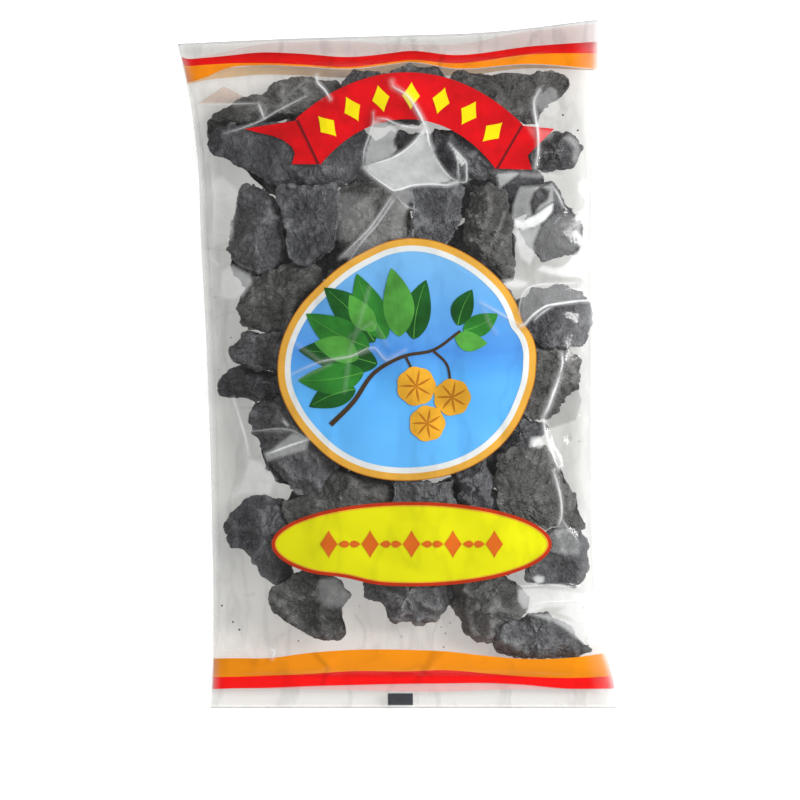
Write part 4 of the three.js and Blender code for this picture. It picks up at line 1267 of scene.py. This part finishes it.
def addSprig():
    for green in ("leaf", "leafMiddle", "leafLight"):
        blades = [addShape("leafPart", 12, 44, leafShape(*leaf[:6])) for leaf in leaves if leaf[6] == green]
        printSprig("sprig" + green.capitalize(), blades, green, green)
    ribs = [addShape("ribPart", 2, 30, ribShape(leaf[:6])) for leaf in leaves]
    printSprig("sprigRibs", ribs, "ribs", "leafLight")
    twigs = [addShape("stalkPart", 3, 16, lineShape(stalk, 0.9, 0.8)) for stalk in stalks]
    twigs.append(addShape("stemPart", 3, 40, lineShape(stem, 1.8, 0.9)))
    printSprig("sprigStem", twigs, "stem", "stem")
    rounds = [addShape("fruitPart", 48, 8, fruitShape(*fruit)) for fruit in fruits]
    printSprig("sprigFruits", rounds, "fruit", "fruit", closed=True)
    grooves = []
    for x0, y0, radius in fruits:
        for way in (30, 80, 130, 180, 230, 280, 330):
            grooves.append(addShape("groovePart", 2, 10, leafShape(x0, y0, radius * 0.86, 0.42, way, 0.4)))
    printSprig("sprigFruitGrooves", grooves, "grooves", "fruitShade")


addMedallion()
addSprig()
print("medallion printed")

oval = {"x": 5.3, "y": -65.2, "halfWidth": 50.7, "halfHeight": 15.3, "rim": 1.2, "line": 0.45, "spacing": 15}


def ovalShape(u, v):
    angle = -2 * np.pi * u
    x = oval["x"] + oval["halfWidth"] * v * np.cos(angle)
    y = oval["y"] + oval["halfHeight"] * v * np.sin(angle)
    # the lower left is pulled up a little by a fold
    return x, y + 1.5 * np.exp(-(((x + 20) / 9) ** 2)) * np.maximum(0, -np.sin(angle)) * v


def rimShape(near, far):
    # a line along the oval's edge, between two distances inside it
    def placeOf(u, v):
        x, y = ovalShape(u, np.ones_like(u))
        dx, dy = x - oval["x"], (y - oval["y"]) * (oval["halfWidth"] / oval["halfHeight"]) ** 2
        size = np.maximum(np.hypot(dx, dy), 1e-6)
        inward = near + (far - near) * (1 - v)
        return x - dx / size * inward, y - dy / size * inward

    return placeOf


def addOval():
    rim, line = oval["rim"], oval["line"]
    for name, rows, shape, depth, ink in (
        ("ovalFace", 16, ovalShape, "shapes", "yellow"),
        ("ovalRim", 3, rimShape(0, rim), "details", "brownRed"),
        ("ovalLine", 3, rimShape(rim, rim + line), "details", "fruit"),
    ):
        piece = addShape(name, 200, rows, shape)
        closeGaps(piece)
        printOn(piece, inkDepth[depth], inks[ink])


def addOvalMotifs():
    # a quiet row of leaf shapes and diamonds
    parts = []
    for i in range(-2, 3):
        diamond = lozengeShape(oval["x"] + i * oval["spacing"], oval["y"], 10, 6.4, 90)
        parts.append(addShape("motifPart", 6, 8, diamond))
    for i in (-1.5, -0.5, 0.5, 1.5):
        for way in (0, 180):
            leaf = leafShape(oval["x"] + i * oval["spacing"], oval["y"], 4, 1.3, way, 0)
            parts.append(addShape("motifPart", 4, 8, leaf))
    printOn(joinPieces("ovalMotifs", parts), inkDepth["details"], inks["motif"])


addOval()
addOvalMotifs()
print("oval printed")

addFoldHighlights()

# The fin seal on the back, with a plain dark registration mark near its lower end
fin = {
    "columns": 14,
    "rows": 260,
    "sink": 0.12,
    "thickness": 0.16,
    "markLeft": -3.3,
    "markRight": 5.8,
    "markLow": -124.9,
    "markHigh": -119.6,
}


def makeFinMaterial():
    material, tree, skin, output = newMaterial("sealedFilm")
    place = addNode(tree, "ShaderNodeTexCoord").outputs["Object"]
    split = addNode(tree, "ShaderNodeSeparateXYZ")
    tree.links.new(place, split.inputs[0])
    inside = addMath(tree, "GREATER_THAN", split.outputs["X"], fin["markLeft"] * mm)
    beyond = addMath(tree, "LESS_THAN", split.outputs["X"], fin["markRight"] * mm)
    low = addMath(tree, "GREATER_THAN", split.outputs["Y"], fin["markLow"] * mm)
    high = addMath(tree, "LESS_THAN", split.outputs["Y"], fin["markHigh"] * mm)
    across = addMath(tree, "MULTIPLY", inside, beyond)
    mark = addMath(tree, "MULTIPLY", across, addMath(tree, "MULTIPLY", low, high))
    mix = addNode(tree, "ShaderNodeMix", data_type="RGBA")
    tree.links.new(mark, mix.inputs[0])
    mix.inputs[6].default_value = (0.78, 0.83, 0.86, 1)
    mix.inputs[7].default_value = (0.075, 0.09, 0.12, 1)
    tree.links.new(mix.outputs[2], skin.inputs["Base Color"])
    crimp = addNode(tree, "ShaderNodeTexWave", bands_direction="Y")
    crimp.inputs["Scale"].default_value = 260
    crimp.inputs["Distortion"].default_value = 0.4
    tree.links.new(place, crimp.inputs["Vector"])
    tree.links.new(addBump(tree, crimp.outputs["Fac"], 0.4, 0.0003), skin.inputs["Normal"])
    skin.inputs["Roughness"].default_value = 0.28
    alpha = addMath(tree, "MULTIPLY_ADD", mark, 0.88)
    alpha.node.inputs[2].default_value = 0.04
    tree.links.new(alpha, skin.inputs["Alpha"])
    return material


def addFin():
    low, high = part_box("fin_seal")
    piece, u, v = addGrid("finSeal", fin["columns"], fin["rows"])
    x = (low.x / mm + 0.1) + ((high.x - low.x) / mm - 0.2) * u
    y = (low.y / mm + 0.2) + ((high.y - low.y) / mm - 0.4) * v
    writePoints(piece, np.stack([x, y, np.full(len(x), float(clearOf))], axis=1))
    dropOnto(piece, frame["nodes"]["fin_seal"])
    points = readPoints(piece)
    missed = points[:, 2] > clearOf - 10
    points[missed, 2] = np.interp(points[missed, 1], points[~missed, 1][::15], points[~missed, 2][::15])
    points[:, 2] -= fin["sink"]
    writePoints(piece, points)
    thick = piece.modifiers.new("thick", "SOLIDIFY")
    thick.thickness = fin["thickness"] * mm
    thick.offset = -1
    applyModifiers(piece)
    bpy.ops.object.shade_smooth_by_angle(angle=math.radians(40))
    finishPiece(piece, makeFinMaterial(), ["fin_seal"])


addFin()
print("fin seal made")

# The dried rinds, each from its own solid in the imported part
rindSkin = {
    "foldSize": 8.5,
    "foldDepth": 2.2,
    "wrinkleSize": 3.1,
    "wrinkleDepth": 1.0,
    "grainSize": 1.0,
    "grainDepth": 0.75,
    "levels": 2,
    "grow": 1.04,
    "spread": 0.5,
    "widened": {"rind_rear_15": 1.4, "rind_front_01": 1.06},
    "underFilm": 0.75,
}


def makeRindTextures():
    folds = bpy.data.textures.new("rindFolds", "MUSGRAVE")
    folds.musgrave_type = "RIDGED_MULTIFRACTAL"
    folds.noise_scale = rindSkin["foldSize"] * mm
    folds.octaves = 2
    folds.noise_intensity = 0.55
    wrinkles = bpy.data.textures.new("rindWrinkles", "VORONOI")
    wrinkles.noise_scale = rindSkin["wrinkleSize"] * mm
    wrinkles.weight_1 = -1
    wrinkles.weight_2 = 1
    wrinkles.noise_intensity = 1.6
    grain = bpy.data.textures.new("rindGrain", "CLOUDS")
    grain.noise_scale = rindSkin["grainSize"] * mm
    grain.noise_depth = 2
    return folds, wrinkles, grain


def makeBloomAndSheenGroup():
    # black skin in fine uneven wrinkles, with a grey bloom on whatever stands up; this also paints highlight
    # on the ridges and shade in the hollows
    inputs = [("Place", "Vector"), ("Ridge", "Float"), ("Stretch", "Vector")]
    inputs += [(tone, "Color") for tone in ("Dark", "Middle", "DustAndSheen")]
    results = [("Color", "Color"), ("Roughness", "Float"), ("Height", "Float")]
    tree, given, made = addGroup("rindBloomAndSheen", inputs, results)
    place = given["Place"]
    broad = addNoise(tree, place, 75, 5, 0.6)
    mottle = addNoise(tree, place, 480, 5, 0.7)
    bend = addNode(tree, "ShaderNodeVectorMath", operation="MULTIPLY_ADD")
    tree.links.new(addNoise(tree, place, 120, 3).outputs["Color"], bend.inputs[0])
    bend.inputs[1].default_value = (0.012, 0.012, 0.012)
    tree.links.new(place, bend.inputs[2])
    pulled = addNode(tree, "ShaderNodeVectorMath", operation="MULTIPLY")
    tree.links.new(bend.outputs[0], pulled.inputs[0])
    tree.links.new(given["Stretch"], pulled.inputs[1])
    ridges = []
    for size in (230, 600):
        swirl = addNoise(tree, pulled.outputs[0], size, 2)
        away = addMath(tree, "ABSOLUTE", addMath(tree, "SUBTRACT", swirl.outputs["Fac"], 0.5))
        ridges.append(addMath(tree, "SUBTRACT", 1.0, addMath(tree, "MULTIPLY", away, 7.0), clamp=True))
    wrinkles = addSum(tree, (ridges[0], 0.5), (ridges[1], 0.4))
    grain = addNoise(tree, place, 1300, 4, 0.7)
    tree.links.new(addSum(tree, (wrinkles, 1), (grain.outputs["Fac"], 0.9)), made["Height"])
    # how much bloom and painted highlight lies on the skin
    stands = addMath(tree, "MULTIPLY", given["Ridge"], addMath(tree, "MULTIPLY", broad.outputs["Fac"], 0.75))
    fine = addSum(tree, (mottle.outputs["Fac"], 0.9), (grain.outputs["Fac"], 1.1), (wrinkles, 0.4))
    # the tone drifts from one side of the heap to the other
    drift = addMath(tree, "SUBTRACT", addNoise(tree, place, 26, 2).outputs["Fac"], 0.5)
    stands = addSum(tree, (stands, 1), (drift, 0.9))
    finest = addMath(tree, "MULTIPLY", addMath(tree, "SUBTRACT", fine, 0.9), 0.62)
    amount = addMath(tree, "ADD", stands, finest, clamp=True)
    lower = addNode(tree, "ShaderNodeMix", data_type="RGBA")
    upper = addNode(tree, "ShaderNodeMix", data_type="RGBA")
    tree.links.new(addMath(tree, "MULTIPLY", amount, 2.5, clamp=True), lower.inputs[0])
    tree.links.new(given["Dark"], lower.inputs[6])
    tree.links.new(given["Middle"], lower.inputs[7])
    most = addMath(tree, "MULTIPLY", addMath(tree, "SUBTRACT", amount, 0.4), 2.0, clamp=True)
    tree.links.new(most, upper.inputs[0])
    tree.links.new(lower.outputs[2], upper.inputs[6])
    tree.links.new(given["DustAndSheen"], upper.inputs[7])
    tree.links.new(upper.outputs[2], made["Color"])
    shine = addMath(tree, "MULTIPLY_ADD", broad.outputs["Fac"], 0.5)
    shine.node.inputs[2].default_value = 0.18
    tree.links.new(shine, made["Roughness"])
    return tree


rindBloomAndSheen = makeBloomAndSheenGroup()


# The dark, middle and dusty tone of each skin, where dark is also painted shade in the hollows and dusty also
# painted highlight on the ridges, and how its wrinkles are stretched
rindTones = {
    "rindBlack": [(0.026, 0.027, 0.032), (0.108, 0.11, 0.123), (0.3, 0.305, 0.33), (1, 0.45, 0.8)],
    "rindBrown": [(0.03, 0.03, 0.03), (0.122, 0.121, 0.12), (0.32, 0.32, 0.32), (0.5, 1, 0.8)],
    "rindGrey": [(0.034, 0.035, 0.039), (0.132, 0.134, 0.145), (0.36, 0.365, 0.385), (0.8, 0.6, 1)],
}


def makeRindMaterial(name, dark, middle, dusty, stretch):
    material, tree, skin, output = newMaterial(name)
    place = addNode(tree, "ShaderNodeTexCoord").outputs["Object"]
    ridge = addNode(tree, "ShaderNodeAttribute", attribute_name="ridge").outputs["Fac"]
    colours = {"Dark": (*dark, 1), "Middle": (*middle, 1), "DustAndSheen": (*dusty, 1)}
    bloomAndSheen = placeGroup(tree, rindBloomAndSheen, Place=place, Ridge=ridge, Stretch=stretch, **colours)
    tree.links.new(bloomAndSheen["Color"], skin.inputs["Base Color"])
    tree.links.new(bloomAndSheen["Roughness"], skin.inputs["Roughness"])
    skin.inputs["Specular IOR Level"].default_value = 0.5
    tree.links.new(addBump(tree, bloomAndSheen["Height"], 0.9, 0.0009), skin.inputs["Normal"])
    return material


def fitRind(points, name):
    # grows the wrinkled rind back to its solid's size and keeps it between the two films
    low, high = (np.array(corner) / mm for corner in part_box(name))
    middle = (low + high) / 2
    wide = rindSkin["grow"] * rindSkin["widened"].get(name, 1) + 2 * rindSkin["spread"] / 25
    grown = (high - low) / np.ptp(points, axis=0) * [wide, wide, 1]
    points = (points - (points.min(axis=0) + points.max(axis=0)) / 2) * grown + middle
    x, y, z = points.T
    ceiling = filmTopAt(x, y) - rindSkin["underFilm"]
    floor = np.minimum(backHeightAt(x, y) + 0.3, ceiling - 0.5)
    return np.stack([x, y, np.clip(z, floor, ceiling)], axis=1)


def addRinds():
    folds, wrinkles, grain = makeRindTextures()
    skins = [makeRindMaterial(name, *tones) for name, tones in rindTones.items()]
    names = sorted(name for name in frame["nodes"] if name.startswith("rind_"))
    faces = 0
    for i, name in enumerate(names):
        node = frame["nodes"][name]
        piece = node.copy()
        piece.data = node.data.copy()
        piece.name = "dried_" + name
        piece.parent = None
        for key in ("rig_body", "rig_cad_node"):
            if key in piece:
                del piece[key]
        scene.collection.objects.link(piece)
        editWhole(
            piece,
            (bpy.ops.mesh.remove_doubles, {"threshold": 0.01 * mm}),
            (bpy.ops.mesh.tris_convert_to_quads, {"face_threshold": 1.2, "shape_threshold": 1.2}),
        )
        finer = piece.modifiers.new("finer", "SUBSURF")
        finer.levels = finer.render_levels = rindSkin["levels"] + (1 if "front" in name else 0)
        applyModifiers(piece)
        before = readPoints(piece)
        for texture, size, middle in (
            (folds, rindSkin["foldDepth"], 0.75),
            (wrinkles, rindSkin["wrinkleDepth"], 0.4),
            (grain, rindSkin["grainDepth"], 0.6),
        ):
            push = piece.modifiers.new(texture.name, "DISPLACE")
            push.texture = texture
            push.texture_coords = "LOCAL"
            push.strength = size * mm
            push.mid_level = middle
        applyModifiers(piece)
        after = readPoints(piece)
        normals = np.zeros(len(after) * 3)
        piece.data.vertices.foreach_get("normal", normals)
        # ridge mask: how far each point was pushed out; it sets the grey bloom and the painted highlight on
        # the ridges
        moved = ((after - before) * normals.reshape(-1, 3)).sum(axis=1)
        low, high = np.percentile(moved, (5, 97))
        writeMask(piece, "ridge", np.clip((moved - low) / max(high - low, 1e-6), 0, 1))
        after += normals.reshape(-1, 3) * [rindSkin["spread"], rindSkin["spread"], 0]
        writePoints(piece, fitRind(after, name))
        bpy.ops.object.shade_smooth()
        finishPiece(piece, skins[(i * 7 + i // 3) % 3], [name])
        faces += len(piece.data.polygons)
    print("rinds:", len(names), "pieces,", faces, "faces")


addRinds()

# Small broken bits of rind that lie loose in the clear parts
crumbs = {
    "seed": 7,
    "extra": 16,
    "smallest": 0.16,
    "largest": 0.42,
    "places": [
        (-46.9, -83.6), (-13.4, -87.2), (15.9, -94.8), (17.5, -97), (59.9, 89.8), (65.3, 84.4), (62.2, -26.5),
        (65.8, -27.9), (-57, -96), (-59.8, 9.5), (-62, 61), (-20, -98.5), (-22.6, -94),
    ],
}


def addCrumbs():
    chance = np.random.default_rng(crumbs["seed"])
    places = list(crumbs["places"])
    for i in range(crumbs["extra"]):
        places.append((chance.uniform(-64, 68), chance.uniform(-103, -84)))
    parts = []
    for x, y in places:
        radius = chance.uniform(crumbs["smallest"], crumbs["largest"])
        bpy.ops.object.select_all(action="DESELECT")
        bpy.ops.mesh.primitive_ico_sphere_add(subdivisions=2, radius=1, location=(0, 0, 0))
        part = bpy.context.object
        points = readPoints(part) * mm * radius * chance.uniform(0.6, 1.3, (42, 3))
        height = filmTopAt(np.array([x]), np.array([y]))[0] - rindSkin["underFilm"]
        writePoints(part, points + [x, y, height])
        writeMask(part, "ridge", np.full(len(points), 0.3))
        parts.append(part)
    whole = joinPieces("rindCrumbs", parts)
    finishPiece(whole, bpy.data.materials["rindBlack"])
    print("crumbs:", len(places))


addCrumbs()

# Floor, light and colour
studio = {"floorSize": 6, "world": 0.56, "floorGlow": 0.6}


def addFloor():
    bpy.ops.object.select_all(action="DESELECT")
    bpy.ops.mesh.primitive_plane_add(size=studio["floorSize"], location=(0, 0, -0.0002))
    floor = bpy.context.object
    floor.name = "paleFloor"
    material, tree, paint, output = newMaterial("paleFloor")
    place = addNode(tree, "ShaderNodeTexCoord").outputs["Object"]
    patchMap = addNoise(tree, place, 3, 3)
    tree.links.new(
        addRamp(tree, patchMap.outputs["Fac"], [(0.3, (0.9, 0.9, 0.9)), (0.7, (0.92, 0.92, 0.92))]),
        paint.inputs["Base Color"],
    )
    paint.inputs["Roughness"].default_value = 0.9
    paint.inputs["Specular IOR Level"].default_value = 0.1
    paint.inputs["Emission Color"].default_value = (1, 1, 1, 1)
    paint.inputs["Emission Strength"].default_value = studio["floorGlow"]
    floor.data.materials.append(material)


def addSoftbox(name, place, width, height, power):
    bpy.ops.object.light_add(type="AREA", location=place)
    box = bpy.context.object
    box.name = name
    box.data.shape = "RECTANGLE"
    box.data.size = width
    box.data.size_y = height
    box.data.energy = power
    box.rotation_euler = (-Vector(place)).to_track_quat("-Z", "Y").to_euler()
    return box


addFloor()
addSoftbox("keyRight", (0.85, 0.3, 0.95), 0.5, 0.6, 11).visible_glossy = False
addSoftbox("stripRight", (1.1, 0.1, 0.56), 0.07, 0.5, 5)
world = bpy.data.worlds.new("studioWorld")
world.use_nodes = True
world.node_tree.nodes["Background"].inputs["Color"].default_value = (1, 1, 1, 1)
world.node_tree.nodes["Background"].inputs["Strength"].default_value = studio["world"]
scene.world = world
scene.view_settings.view_transform = "Standard"
scene.cycles.transparent_max_bounces = 24
scene.cycles.max_bounces = 8
print("studio lit")
